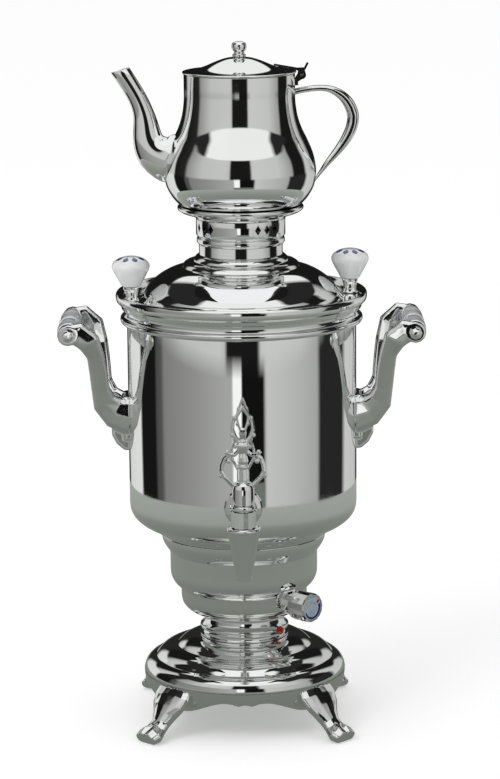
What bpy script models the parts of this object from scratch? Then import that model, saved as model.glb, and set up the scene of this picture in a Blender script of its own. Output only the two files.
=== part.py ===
"""Electric samovar with a tap, a stepped lid, a pierced crown and a teapot on top.

Metres, +Z up. The pieces are made round the vertical axis of the tank, then moved so that
the origin is on the floor under the middle of the whole.
The tap points to -Y, the spout of the teapot to -X and its handle to +X.
"""
import math

import bmesh
import bpy
from mathutils import Matrix, Vector

# Fits and mesh fineness
GAP = 0.0003
CUT_OVERRUN = 0.002
MERGE_DISTANCE = 0.000001
SHARP_ANGLE = math.radians(35)
ROUND_SEGMENTS = 24
POT_SEGMENTS = 20
NECK_SEGMENTS = 20
SMALL_SEGMENTS = 12
PIN_SEGMENTS = 8
FINE_SEGMENTS = 16
SKIRT_SEGMENTS = 48
NUT_SIDES = 6
FOOT_SIDES = 16
ARM_SIDES = 10
SPOUT_SIDES = 12
HANDLE_SIDES = 8
HANDLE_STEPS = 2
KEY_BAR_SIDES = 5
KEY_BALL_SIDES = 6
KEY_BALL_STEPS = 4
ROLL_STEPS = 3
ARM_SQUARENESS = 0.7
LINING_TOLERANCE_share = 0.2

# Base: cast skirt, four paw feet and spun dome
SKIRT_RADIUS = 0.0763
SKIRT_TOP = 0.0374
SKIRT_WALL = 0.0024
SKIRT_TAPER = 0.0033
SKIRT_DEPTH = 0.0176
SKIRT_ARCH_RISE = 0.0105
SKIRT_ARCH_FULLNESS_share = 0.6
SKIRT_BOW_DROP = 0.0012
SKIRT_BOW_share = 0.36
SKIRT_POINT_share = 0.18
DOME_RISE = 0.0268
DOME_WALL = 0.0012
DOME_ROLL = 0.0024
dome_crease_shares = ((0.433, 1.0), (0.668, 0.715), (0.878, 0.405), (1.0, 0.03))
FOOT_REACH = 0.0972
FOOT_HEIGHT = 0.0375
FOOT_HALF_WIDTH = 0.0135
FOOT_HALF_DEPTH = 0.0066
FOOT_TOE_RELIEF_share = 0.4
FOOT_TOE_COUNT = 4
# along the leg: reach, height, width, depth, toe lobes
foot_station_shares = (
    (0.745, 1.00, 1.15, 0.45, 0.0),
    (0.790, 0.80, 1.30, 0.80, 0.0),
    (0.835, 0.62, 1.15, 0.90, 0.0),
    (0.875, 0.46, 0.82, 0.90, 0.0),
    (0.920, 0.32, 0.60, 0.85, 0.0),
    (0.965, 0.23, 0.66, 0.82, 0.5),
    (1.025, 0.15, 0.84, 1.06, 1.0),
    (1.085, 0.10, 0.74, 0.80, 1.0),
)

# Neck between base and housing, with its pilot lamp
NECK_HEIGHT = 0.0155
NECK_RADIUS = 0.0292
NECK_BORE = 0.0265
NECK_BEAD = 0.0334
neck_outline_shares = (
    (0.000, 1.000), (0.000, 0.870), (0.190, 0.700), (0.760, 0.530), (1.000, 0.470),
    (1.000, 0.350), (0.480, 0.280), (0.480, 0.060), (1.000, 0.000),
)
LAMP_AZIMUTH = math.radians(52)
LAMP_RADIUS = 0.0033
LAMP_STEM = 0.0024
LAMP_HEAD = 0.0030
LAMP_LENGTH = 0.0095
LAMP_HEIGHT_share = 0.42
lamp_shares = ((0.0, 1.0), (0.6, 0.85), (1.0, 0.4), (1.0, 0.0))

# Lower housing: three stepped bands under the tank
HOUSING_HEIGHT = 0.0634
HOUSING_TOP_share = 0.724
HOUSING_WALL = 0.0011
housing_outline_shares = (
    (1.000, 1.000), (0.958, 0.868), (0.899, 0.780), (0.897, 0.545), (0.847, 0.412),
    (0.768, 0.327), (0.767, 0.230), (0.727, 0.120), (0.640, 0.045), (0.501, 0.000),
)

# Tank
TANK_RADIUS = 0.0855
TANK_HEIGHT = 0.1720
TANK_WALL = 0.0010
TANK_BEND_HEIGHT = 0.0240
tank_bend_shares = ((1.0, 1.0), (0.985, 0.75), (0.940, 0.525), (0.869, 0.325), (0.794, 0.175))
RIM_RING_HEIGHT = 0.0112
RIM_RING_WIDTH = 0.0045
rim_ring_shares = (
    (0.56, 1.00), (0.40, 0.80), (0.42, 0.56), (0.62, 0.50), (0.95, 0.35),
    (0.97, 0.18), (0.65, 0.04), (0.10, 0.00),
)

# Lid
LID_OVERHANG = 0.0081
LID_FLANGE = 0.0118
LID_HEIGHT = 0.0470
LID_WALL = 0.0012
LID_SPIGOT_DEPTH = 0.0080
LID_COLLAR_RADIUS = 0.0311
LID_COLLAR_HEIGHT = 0.0078
LID_GUTTER_share = 0.575
lid_flange_shares = (
    (0.797, 0.700), (0.815, 0.575), (0.955, 0.575), (0.974, 0.980), (0.988, 1.000), (1.000, 0.800),
    (0.988, 0.400), (0.960, 0.250), (0.955, 0.000),
)
lid_dome_shares = (
    (0.352, 0.820), (0.372, 0.770), (0.378, 0.740), (0.435, 0.730), (0.462, 0.670), (0.470, 0.645),
    (0.560, 0.595), (0.660, 0.490), (0.745, 0.330), (0.783, 0.205),
)
KNOB_INSET = 0.0108
KNOB_TURN = math.radians(10)
KNOB_STEM_HEIGHT = 0.0105
KNOB_STEM_RADIUS = 0.0058
KNOB_HEIGHT = 0.0225
KNOB_RADIUS = 0.0139
knob_stem_shares = ((0.0, 1.0), (0.95, 1.0), (1.0, 0.93), (0.86, 0.55), (0.86, 0.30), (1.02, 0.06), (1.04, 0.0),
                    (0.0, 0.0))
knob_shares = (
    (0.00, 1.00), (0.30, 0.985), (0.62, 0.93), (0.88, 0.83), (1.00, 0.70), (0.97, 0.58),
    (0.80, 0.36), (0.60, 0.13), (0.50, 0.00), (0.00, 0.00),
)

# Crown: pierced collar and the gallery that carries the teapot
CROWN_HEIGHT = 0.0192
CROWN_RADIUS = 0.0332
CROWN_WALL = 0.0012
CROWN_SPIGOT_DEPTH = 0.0060
CROWN_WAIST_share = 0.28
crown_outline_shares = (
    (1.000, 1.000), (1.000, 0.370), (0.985, 0.310), (0.930, 0.270), (0.985, 0.180), (0.985, 0.080),
    (0.950, 0.000),
)
DIAMOND_WIDTH = 0.0049
DIAMOND_HEIGHT = 0.0074
DIAMOND_GROUPS = 4
DIAMONDS_IN_GROUP = 3
DIAMOND_PITCH = math.radians(13)
DIAMOND_GROUP_AZIMUTH = math.radians(35.5)
DIAMOND_HEIGHT_share = 0.70
GALLERY_RADIUS = 0.0468
GALLERY_HEIGHT = 0.0090
GALLERY_BORE = 0.0290
gallery_shares = (
    (0.620, 0.270), (0.790, 0.290), (0.845, 0.470), (0.925, 0.720), (0.955, 0.960), (0.985, 1.000),
    (1.000, 0.840), (0.985, 0.660), (0.930, 0.500), (0.770, 0.220), (0.714, 0.000), (0.620, 0.000),
)

# Teapot
POT_RADIUS = 0.0563
POT_HEIGHT = 0.1037
POT_WALL = 0.0010
POT_BASE_LIFT_share = 0.27
pot_outline_shares = (
    (0.728, 1.000), (0.728, 0.810), (0.757, 0.700), (0.812, 0.610), (0.885, 0.527), (0.958, 0.430),
    (0.995, 0.330), (0.996, 0.262), (0.957, 0.185), (0.870, 0.110), (0.750, 0.046), (0.640, 0.008),
    (0.610, 0.000),
)
SPOUT_REACH = 0.0875
SPOUT_DEPTH = 0.0190
SPOUT_WIDTH = 0.0130
SPOUT_WALL = 0.0010
SPOUT_HOLE_RADIUS = 0.0080
SPOUT_LIP_TILT = math.radians(-16)
# along the spout: reach, height, half depth, half width
spout_station_shares = (
    (0.500, 0.392, 1.000, 1.000),
    (0.640, 0.402, 0.974, 0.960),
    (0.737, 0.450, 0.816, 0.850),
    (0.783, 0.537, 0.620, 0.700),
    (0.789, 0.643, 0.505, 0.600),
    (0.811, 0.740, 0.405, 0.520),
    (0.869, 0.860, 0.363, 0.460),
    (1.000, 1.029, 0.385, 0.440),
)
HANDLE_REACH = 0.0839
HANDLE_DEPTH = 0.0047
HANDLE_WIDTH = 0.0060
# along the handle: reach, height, half depth, half width
handle_station_shares = (
    (0.465, 0.860, 0.50, 0.75),
    (0.540, 0.876, 0.50, 0.78),
    (0.650, 0.889, 0.50, 0.85),
    (0.763, 0.889, 0.52, 0.92),
    (0.858, 0.860, 0.72, 0.98),
    (0.945, 0.800, 0.93, 1.00),
    (1.000, 0.695, 1.05, 1.00),
    (0.972, 0.582, 1.00, 0.95),
    (0.885, 0.468, 0.78, 0.85),
    (0.770, 0.358, 0.50, 0.70),
    (0.690, 0.270, 0.26, 0.55),
    (0.620, 0.200, 0.20, 0.45),
)
POT_LID_HEIGHT = 0.0115
POT_LID_OVERHANG = 0.0010
POT_LID_WALL = 0.0012
POT_LID_SKIRT = 0.0038
POT_LID_PLAY = 0.0007
pot_lid_shares = (
    (0.124, 1.000), (0.238, 0.945), (0.398, 0.755), (0.605, 0.425), (0.738, 0.265), (0.900, 0.160),
    (0.985, 0.130), (1.000, 0.065), (0.990, 0.000),
)
FINIAL_HEIGHT = 0.0114
FINIAL_RADIUS = 0.00545
finial_shares = (
    (0.00, 1.00), (0.46, 0.99), (0.90, 0.87), (1.00, 0.70), (0.96, 0.47), (0.70, 0.37), (0.70, 0.20),
    (0.88, 0.13), (0.88, 0.00), (0.00, 0.00),
)

# Hinge of the teapot lid
HINGE_REACH = 0.0050
HINGE_DROP = 0.0012
HINGE_PIN_RADIUS = 0.0012
HINGE_PIN_LENGTH = 0.0128
HINGE_KNUCKLE_RADIUS = 0.0031
HINGE_KNUCKLE_WIDTH = 0.0064
HINGE_EAR_WIDTH = 0.0022
HINGE_PLATE_HEIGHT = 0.0045
HINGE_PLATE_THICKNESS = 0.0019
HINGE_STRAP_LENGTH = 0.0205
HINGE_STRAP_THICKNESS = 0.0016
HINGE_LEVER_LENGTH = 0.0060
HINGE_LEVER_THICKNESS = 0.0013
HINGE_LEVER_LEAN = math.radians(62)

# Carry handles: forked casting, porcelain grip, rod and acorn nuts
GRIP_REACH = 0.0423
GRIP_HEIGHT = 0.1580
GRIP_HALF_SPAN = 0.0380
GRIP_RADIUS = 0.0086
GRIP_ROD_RADIUS = 0.0020
EAR_RADIUS = 0.0079
ARM_HALF_WIDTH = 0.0074
ARM_HALF_THICKNESS = 0.0036
ARM_DROP = 0.0700
# from the ear to the tank: reach, drop, half width, half thickness, spread
arm_station_shares = (
    (1.00, 0.000, 1.00, 1.00, 1.00),
    (0.83, -0.010, 1.22, 1.00, 1.000),
    (0.63, 0.090, 1.18, 1.05, 0.955),
    (0.530, 0.250, 0.92, 1.08, 0.80),
    (0.495, 0.430, 0.95, 1.12, 0.67),
    (0.465, 0.640, 0.95, 1.22, 0.53),
    (0.400, 0.790, 1.30, 1.50, 0.42),
    (0.220, 0.905, 1.70, 2.00, 0.30),
    (-0.080, 0.965, 2.00, 2.45, 0.22),
)
grip_shares = ((1.000, 0.74), (0.930, 0.92), (0.620, 1.00), (0.120, 0.95), (0.000, 0.84))
PAD_HALF_WIDTH = 0.0140
PAD_HEIGHT = 0.0330
PAD_THICKNESS = 0.0026
PAD_CENTRE_share = 0.975
CORBEL_REACH = 0.0126
CORBEL_HEIGHT = 0.0210
CORBEL_HALF_WIDTH = 0.0072
corbel_shares = ((1.0, 1.1), (1.0, 0.62), (0.72, 0.30), (0.30, 0.08), (-0.4, 0.0), (-0.4, 1.1))
ACORN_RADIUS = 0.0047
ACORN_LENGTH = 0.0052
ACORN_GRIP_share = 0.62
acorn_shares = ((0.0, 1.0), (0.35, 0.97), (0.70, 0.80), (0.86, 0.55), (1.0, 0.50), (1.0, 0.0))

# Tap on the front of the tank
TAP_REACH = 0.0345
TAP_LEVEL = 0.0380
TAP_BARREL_RADIUS = 0.0090
TAP_BARREL_HEIGHT = 0.0118
TAP_PIPE_RADIUS = 0.0050
TAP_PIPE_BORE = 0.0030
TAP_SHANK_INSIDE = 0.0125
TAP_PLUG_RADIUS = 0.0060
TAP_PLUG_BORE = 0.0036
TAP_PLUG_ROOF = 0.0040
TAP_SPOUT_LENGTH = 0.0390
TAP_SPOUT_TOP_RADIUS = 0.0124
TAP_SPOUT_WALL = 0.0013
tap_spout_shares = (
    (0.90, 1.00), (1.00, 0.972), (1.00, 0.945), (0.945, 0.915), (0.450, 0.020), (0.430, 0.000),
)
GLAND_RADIUS = 0.0088
GLAND_HEIGHT = 0.0042
gland_shares = ((0.86, 1.0), (0.97, 0.80), (1.0, 0.5), (0.97, 0.2), (0.86, 0.0))
HUB_RADIUS = 0.00815
HUB_HEIGHT = 0.0174
hub_shares = ((0.0, 1.0), (0.45, 0.97), (0.80, 0.86), (0.97, 0.68), (1.0, 0.60), (1.0, 0.04), (0.94, 0.0))
ESCUTCHEON_RADIUS = 0.0142
ESCUTCHEON_THICKNESS = 0.0036
ESCUTCHEON_LIP = 0.0012
ESCUTCHEON_DISH_share = 0.7
SEAL_RADIUS = 0.0105
SEAL_THICKNESS = 0.0030
NUT_THICKNESS = 0.0045
NUT_RADIUS = 0.0104

# Ornate tap key: cast bars in the plane of the key
KEY_HEIGHT = 0.0545
KEY_HALF_WIDTH = 0.0152
KEY_BAR_RADIUS = 0.0017
KEY_STEM_RADIUS = 0.0037
key_stem_shares = (
    (0.00, 0.560), (0.55, 0.545), (1.10, 0.520), (1.42, 0.480), (1.30, 0.440), (0.98, 0.400), (0.62, 0.372),
    (0.92, 0.320), (1.10, 0.262), (0.86, 0.222), (1.22, 0.205), (1.22, 0.180), (0.92, 0.165), (1.00, 0.120),
    (1.00, -0.06), (0.00, -0.06),
)
# bars: across, up, thickness
key_side_bar_shares = (
    (0.20, 0.395, 1.00), (0.40, 0.345, 1.00), (0.62, 0.352, 1.00), (0.84, 0.300, 1.05), (0.97, 0.215, 1.10),
    (1.00, 0.130, 1.05), (0.86, 0.050, 1.05), (0.62, -0.020, 1.10), (0.40, -0.085, 1.15),
)
key_leaf_bar_shares = (
    (0.16, 0.500, 1.05), (0.36, 0.590, 0.95), (0.49, 0.690, 0.90), (0.44, 0.790, 0.85), (0.27, 0.875, 0.85),
    (0.10, 0.950, 0.95), (0.00, 1.000, 0.80),
)
# volutes and leaf tips: centre across and up, radius
key_volute_shares = (
    (0.745, 0.378, 1.30), (0.660, 0.262, 1.20), (0.500, 0.612, 1.15), (0.380, 0.840, 1.10), (1.03, 0.070, 1.20),
)
key_hook_shares = (
    ((0.66, 0.345, 1.0), (0.745, 0.378, 1.0)),
    ((0.90, 0.290, 1.0), (0.660, 0.262, 0.9)),
    ((0.42, 0.600, 0.9), (0.500, 0.612, 0.9)),
    ((0.42, 0.810, 0.9), (0.380, 0.840, 0.9)),
    ((0.90, 0.080, 1.0), (1.03, 0.070, 0.9)),
)

# Thermostat: knob on the third band of the housing, capillary switch behind it
THERMOSTAT_AZIMUTH = math.radians(46)
THERMOSTAT_LEVEL_share = 0.245
DIAL_RADIUS = 0.0110
DIAL_DEPTH = 0.0165
DIAL_FACE_RADIUS = 0.0092
DIAL_FACE_THICKNESS = 0.0008
DIAL_FACE_RECESS = 0.0014
BOSS_LENGTH = 0.0068
BOSS_RADIUS = 0.0078
SHAFT_RADIUS = 0.0030
SHAFT_IN_KNOB = 0.0080
SHAFT_IN_SWITCH = 0.0060
SWITCH_RADIUS = 0.0075
SWITCH_LENGTH = 0.0140

# Inside the housing and the tank
TIE_ROD_RADIUS = 0.0040
TIE_HEAD_RADIUS = 0.0090
TIE_HEAD_HEIGHT = 0.0030
TIE_WASHER_RADIUS = 0.0170
TIE_WASHER_THICKNESS = 0.0020
TIE_NUT_RADIUS = 0.0075
TIE_NUT_HEIGHT = 0.0055
TIE_ROD_SPARE = 0.0025
ELEMENT_RING_share = 0.526
ELEMENT_TUBE_RADIUS = 0.0038
ELEMENT_LIFT = 0.0150
ELEMENT_LEG_ANGLE = math.radians(18)
ELEMENT_LEG_DROP = 0.0100
ELEMENT_STEPS = 26
ELEMENT_NUT_RADIUS = 0.0078
ELEMENT_NUT_HEIGHT = 0.0045
CUTOUT_RADIUS = 0.0088
CUTOUT_HEIGHT = 0.0065
CUTOUT_PLACE = 0.0300
BLOCK_LENGTH = 0.0200
BLOCK_WIDTH = 0.0100
BLOCK_HEIGHT = 0.0120
BLOCK_PLACE_X = -0.0140
BLOCK_PLACE_Y = 0.0120
INLET_WIDTH = 0.0270
INLET_HEIGHT = 0.0200
INLET_DEPTH = 0.0220
INLET_WALL = 0.0020
INLET_FLOOR = 0.0050
INLET_FLANGE = 0.0025
INLET_FLANGE_THICKNESS = 0.0022
INLET_FLANGE_ROOT = 0.0088
INLET_PIN_WIDTH = 0.0020
INLET_PIN_HEIGHT = 0.0040
INLET_PIN_LENGTH = 0.0125
INLET_PIN_SPREAD = 0.0070
INLET_EARTH_DROP = 0.0026
INLET_LEVEL_share = 0.60

# Levels of the stack, from the floor up
DOME_FOOT = SKIRT_TOP + GAP
DOME_TOP = DOME_FOOT + DOME_RISE
NECK_FOOT = DOME_TOP + GAP
NECK_TOP = NECK_FOOT + NECK_HEIGHT
HOUSING_FOOT = NECK_TOP + GAP
HOUSING_TOP = HOUSING_FOOT + HOUSING_HEIGHT
TANK_FOOT = HOUSING_TOP + GAP
TANK_TOP = TANK_FOOT + TANK_HEIGHT
LID_FOOT = TANK_TOP + GAP
LID_TOP = LID_FOOT + LID_HEIGHT
CROWN_FOOT = LID_TOP + GAP
CROWN_TOP = CROWN_FOOT + CROWN_HEIGHT
GALLERY_FOOT = CROWN_TOP + GAP
POT_FOOT = GALLERY_FOOT + GALLERY_HEIGHT * POT_BASE_LIFT_share + GAP
POT_TOP = POT_FOOT + POT_HEIGHT
POT_LID_FOOT = POT_TOP + GAP
POT_LID_TOP = POT_LID_FOOT + POT_LID_HEIGHT

# Radii and places that follow from the ones above
HOUSING_TOP_RADIUS = TANK_RADIUS * HOUSING_TOP_share
LID_RADIUS = TANK_RADIUS + LID_OVERHANG
ELEMENT_RING_RADIUS = TANK_RADIUS * ELEMENT_RING_share
KNOB_PLACE_RADIUS = LID_RADIUS - KNOB_INSET
POT_MOUTH = POT_RADIUS * pot_outline_shares[0][0]
TAP_Y = -(TANK_RADIUS + TAP_REACH)
TAP_Z = TANK_FOOT + TAP_LEVEL
TAP_BARREL_FOOT = TAP_Z - TAP_BARREL_HEIGHT / 2
TAP_BARREL_TOP = TAP_BARREL_FOOT + TAP_BARREL_HEIGHT
GLAND_TOP = TAP_BARREL_TOP + GAP + GLAND_HEIGHT
HUB_FOOT = GLAND_TOP + GAP
HUB_TOP = HUB_FOOT + HUB_HEIGHT
GRIP_X = TANK_RADIUS + GRIP_REACH
GRIP_Z = TANK_FOOT + GRIP_HEIGHT
HINGE_X = POT_MOUTH + HINGE_REACH
HINGE_Z = POT_TOP - HINGE_DROP
THERMOSTAT_Z = HOUSING_FOOT + HOUSING_HEIGHT * THERMOSTAT_LEVEL_share

FINISHES = {
    "chrome": ((0.82, 0.83, 0.84), 0.07, 1.0),
    "steel": ((0.60, 0.61, 0.62), 0.30, 1.0),
    "brass": ((0.72, 0.55, 0.28), 0.28, 1.0),
    "porcelain": ((0.93, 0.93, 0.90), 0.16, 0.0),
    "black_plastic": ((0.03, 0.03, 0.035), 0.45, 0.0),
    "rubber": ((0.04, 0.04, 0.04), 0.75, 0.0),
    "red_lens": ((0.65, 0.02, 0.03), 0.15, 0.0),
    "dial": ((0.55, 0.60, 0.68), 0.25, 0.6),
}


# Outlines

def scaled(shares, radius, height, foot=0.0, start=0.0):
    """Outline points from shares of a radius and a height, above a foot level."""
    return [(start + across * radius, foot + up * height) for across, up in shares]


def bulge(start, end, rise, steps):
    """Points after start up to end on an even curve that stands off the straight line by rise."""
    length = math.dist(start, end)
    normal = ((start[1] - end[1]) / length, (end[0] - start[0]) / length)
    points = []
    for step in range(1, steps + 1):
        along = step / steps
        lift = rise * 4 * along * (1 - along)
        points.append(tuple(start[i] + (end[i] - start[i]) * along + normal[i] * lift for i in (0, 1)))
    return points


def inset(points, wall):
    """The same line moved by wall to the right of its direction of travel, its ends cut level or upright."""
    directions = [(Vector(b) - Vector(a)).normalized() for a, b in zip(points, points[1:])]
    moved = []
    for index, point in enumerate(points):
        before = directions[max(index - 1, 0)]
        after = directions[min(index, len(directions) - 1)]
        normal = Vector((before.y + after.y, -before.x - after.x)).normalized()
        reach = wall / max(normal.dot(Vector((after.y, -after.x))), 0.5)
        moved.append((point[0] + normal.x * reach, point[1] + normal.y * reach))
    for end, way in ((0, directions[0]), (-1, directions[-1])):
        radius, level = points[end]
        if abs(way.y) > abs(way.x):
            moved[end] = (radius + wall / way.y, level)
        else:
            moved[end] = (radius, level - wall / way.x)
    return moved


def lining(points, wall):
    """Inner line of a sheet, without the points that lie close to the chord past them."""
    inner = inset(points, wall)
    kept = inner[:1]
    for point, after in zip(inner[1:], inner[2:]):
        chord = (Vector(after) - Vector(kept[-1])).normalized()
        offset = Vector(point) - Vector(kept[-1])
        if abs(chord.x * offset.y - chord.y * offset.x) > wall * LINING_TOLERANCE_share:
            kept.append(point)
    return kept + inner[-1:]


def shell(points, wall):
    """Closed outline of a sheet of even thickness inside the given outer line."""
    return points + inset(points, wall)[::-1]


def solid_within(points, clearance):
    """Outline from axis to axis that stands off an outer line by a clearance."""
    grown = inset(points, -clearance)
    if points[0][0] > 0:
        grown = [(0.0, grown[0][1])] + grown
    return grown + [(0.0, grown[-1][1])]


def radius_at(points, level):
    """Radius of an outline, given from top to bottom, at a level."""
    for (upper_r, upper_z), (lower_r, lower_z) in zip(points, points[1:]):
        if lower_z <= level <= upper_z and upper_z > lower_z:
            along = (upper_z - level) / (upper_z - lower_z)
            return upper_r + (lower_r - upper_r) * along
    return points[-1][0]


def smooth(stations, steps):
    """Even curve through rows of values, with the given number of steps between rows."""
    rows = [Vector(row) for row in stations]
    result = []
    for index in range(len(rows) - 1):
        before = rows[max(index - 1, 0)]
        start, end = rows[index], rows[index + 1]
        after = rows[min(index + 2, len(rows) - 1)]
        for step in range(steps):
            t = step / steps
            result.append(0.5 * ((2 * start) + (end - before) * t
                          + (2 * before - 5 * start + 4 * end - after) * t * t
                          + (3 * start - before - 3 * end + after) * t * t * t))
    result.append(rows[-1])
    return result


# Making objects

def clear_scene():
    for item in list(bpy.data.objects):
        bpy.data.objects.remove(item)


def make_material(name, finish):
    colour, roughness, metallic = FINISHES[finish]
    material = bpy.data.materials.new(name + "_finish")
    material.use_nodes = True
    shader = material.node_tree.nodes["Principled BSDF"]
    shader.inputs["Base Color"].default_value = (*colour, 1.0)
    shader.inputs["Roughness"].default_value = roughness
    shader.inputs["Metallic"].default_value = metallic
    return material


def finish_object(name, bm, finish, place=None):
    """Turn a bmesh into a named object, outward faces, smooth but for its sharp edges."""
    bmesh.ops.remove_doubles(bm, verts=bm.verts, dist=MERGE_DISTANCE)
    if place is not None:
        bm.transform(place)
    bmesh.ops.recalc_face_normals(bm, faces=bm.faces)
    if bm.calc_volume(signed=True) < 0:
        bmesh.ops.reverse_faces(bm, faces=bm.faces)
    mesh = bpy.data.meshes.new(name)
    bm.to_mesh(mesh)
    bm.free()
    mesh.shade_smooth()
    mesh.set_sharp_from_angle(angle=SHARP_ANGLE)
    item = bpy.data.objects.new(name, mesh)
    bpy.context.collection.objects.link(item)
    if finish is None:
        item.hide_render = True
        item.display_type = "WIRE"
    else:
        mesh.materials.append(make_material(name, finish))
    return item


def revolve(name, points, finish=None, segments=ROUND_SEGMENTS, loop=False, place=None):
    """Spin an outline about +Z, then place it."""
    bm = bmesh.new()
    verts = [bm.verts.new((radius, 0.0, level)) for radius, level in points]
    edges = [bm.edges.new(pair) for pair in zip(verts, verts[1:])]
    if loop:
        edges.append(bm.edges.new((verts[-1], verts[0])))
    bmesh.ops.spin(bm, geom=verts + edges, axis=(0, 0, 1), cent=(0, 0, 0), angle=math.tau,
                   steps=segments, use_merge=True)
    return finish_object(name, bm, finish, place)


def cylinder(name, radius, start, end, finish=None, segments=SMALL_SEGMENTS, place=None, bore=0.0):
    """Plain rod or tube along its axis from start to end."""
    if bore:
        outline = [(radius, end), (radius, start), (bore, start), (bore, end)]
        return revolve(name, outline, finish, segments, loop=True, place=place)
    outline = [(0.0, end), (radius, end), (radius, start), (0.0, start)]
    return revolve(name, outline, finish, segments, place=place)


def box(name, size, centre, finish=None, place=None):
    bm = bmesh.new()
    bmesh.ops.create_cube(bm, size=1.0)
    bmesh.ops.scale(bm, vec=size, verts=bm.verts)
    bmesh.ops.translate(bm, vec=centre, verts=bm.verts)
    return finish_object(name, bm, finish, place)


def prism(name, points, half_width, finish=None, middle=0.0, place=None):
    """Outline in the XZ plane given a width along Y."""
    bm = bmesh.new()
    face = bm.faces.new([bm.verts.new((x, middle - half_width, z)) for x, z in points])
    made = bmesh.ops.extrude_face_region(bm, geom=[face])
    moved = [item for item in made["geom"] if isinstance(item, bmesh.types.BMVert)]
    bmesh.ops.translate(bm, vec=(0.0, 2 * half_width, 0.0), verts=moved)
    return finish_object(name, bm, finish, place)


def section(centre, along, half_depth, half_width, sides, squareness=1.0):
    """Rounded ring across a path in the XZ plane; squareness under 1 fills its corners."""
    normal = Vector((-along.z, 0.0, along.x))
    ring = []
    for index in range(sides):
        angle = math.tau * (index + 0.5) / sides
        deep, wide = math.cos(angle), math.sin(angle)
        deep = math.copysign(abs(deep) ** squareness, deep)
        wide = math.copysign(abs(wide) ** squareness, wide)
        ring.append(centre + normal * deep * half_depth + Vector((0.0, wide * half_width, 0.0)))
    return ring


def directions_along(centres):
    """Unit tangents in the XZ plane of a line of points."""
    tangents = []
    for index in range(len(centres)):
        step = centres[min(index + 1, len(centres) - 1)] - centres[max(index - 1, 0)]
        tangents.append(Vector((step.x, 0.0, step.z)).normalized())
    return tangents


def loft(name, rings, finish=None, loop=False, place=None):
    """Skin rings of equal count in turn, with end caps or closed on itself."""
    bm = bmesh.new()
    rows = [[bm.verts.new(point) for point in ring] for ring in rings]
    pairs = list(zip(rows, rows[1:]))
    if loop:
        pairs.append((rows[-1], rows[0]))
    else:
        bm.faces.new(rows[0])
        bm.faces.new(rows[-1][::-1])
    for lower, upper in pairs:
        for index in range(len(lower)):
            after = (index + 1) % len(lower)
            bm.faces.new((lower[index], lower[after], upper[after], upper[index]))
    return finish_object(name, bm, finish, place)


def combine(target, tool, operation):
    """Boolean with a hidden tool object."""
    modifier = target.modifiers.new(tool.name, "BOOLEAN")
    modifier.operation = operation
    modifier.solver = "EXACT"
    modifier.object = tool
    tool.hide_render = True
    tool.display_type = "WIRE"
    return target


def cut(target, *tools):
    for tool in tools:
        combine(target, tool, "DIFFERENCE")
    return target


def join(target, *tools):
    for tool in tools:
        combine(target, tool, "UNION")
    return target


def apply_cuts(item):
    """Keep the result of an object's Booleans as its own mesh."""
    result = bpy.data.meshes.new_from_object(item.evaluated_get(bpy.context.evaluated_depsgraph_get()))
    item.modifiers.clear()
    item.data = result
    return item


def copy_turned(source, name, finish, angle):
    """Own copy of an object, turned about the vertical axis of the samovar."""
    item = source.copy()
    item.name = name
    item.data = source.data.copy()
    item.data.name = name
    item.data.materials.clear()
    item.data.materials.append(make_material(name, finish))
    item.rotation_euler = (0.0, 0.0, angle)
    bpy.context.collection.objects.link(item)
    return item


def on_axis(name, place, children):
    """Empty on the axis of a joint that carries the moving pieces."""
    axis = bpy.data.objects.new(name, None)
    bpy.context.collection.objects.link(axis)
    axis.matrix_world = place
    for child in children:
        child.parent = axis
        child.matrix_parent_inverse = place.inverted()


def outward(azimuth, level):
    """Frame whose +Z points out from the vertical axis at an azimuth right of the front."""
    heading = azimuth - math.pi / 2
    return Matrix.Translation((0.0, 0.0, level)) @ Matrix.Rotation(heading, 4, "Z") @ Matrix.Rotation(
        math.pi / 2, 4, "Y")


# Base

def skirt_line():
    top = (SKIRT_RADIUS, SKIRT_TOP)
    foot = (SKIRT_RADIUS - SKIRT_TAPER, SKIRT_TOP - SKIRT_DEPTH)
    return [top] + bulge(top, foot, SKIRT_TAPER / 4, 2)


def skirt_edge(azimuth):
    """Height of the lower edge over its lowest level: an arch between feet with a small bow in the middle."""
    quarter = math.remainder(azimuth - math.pi / 2, math.pi / 2) / (math.pi / 4)
    arch = max(math.cos(quarter * math.pi / 2), 0.0) ** SKIRT_ARCH_FULLNESS_share
    bow = 0.0
    if abs(quarter) < SKIRT_BOW_share:
        bow = (1 + math.cos(math.pi * quarter / SKIRT_BOW_share)) / 2
    if abs(quarter) < SKIRT_POINT_share:
        bow += (1 - math.cos(math.tau * quarter / SKIRT_POINT_share)) / 2
    return SKIRT_ARCH_RISE * arch - SKIRT_BOW_DROP * bow


def make_base():
    line = skirt_line()
    skirt = revolve("base_skirt", shell(line, SKIRT_WALL), "chrome", SKIRT_SEGMENTS, loop=True)
    for vertex in skirt.data.vertices:
        azimuth = math.atan2(vertex.co.y, vertex.co.x)
        share = (SKIRT_TOP - vertex.co.z) / SKIRT_DEPTH
        lift = skirt_edge(azimuth) * share
        outer = radius_at(line, vertex.co.z)
        wall = outer - math.hypot(vertex.co.x, vertex.co.y)
        level = vertex.co.z + lift
        radius = radius_at(line, min(level, SKIRT_TOP)) - wall
        vertex.co = (radius * math.cos(azimuth), radius * math.sin(azimuth), level)
    top = (TIE_ROD_RADIUS + GAP, DOME_TOP)
    creases = scaled(dome_crease_shares, SKIRT_RADIUS, DOME_RISE, DOME_FOOT)
    dome_line = [top, creases[0]]
    for start, end in zip(creases, creases[1:]):
        dome_line += bulge(start, end, DOME_ROLL, ROLL_STEPS)
    dome_line.append((SKIRT_RADIUS, DOME_FOOT))
    revolve("base_dome", dome_line + lining(dome_line, DOME_WALL)[::-1], "chrome", loop=True)


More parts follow.
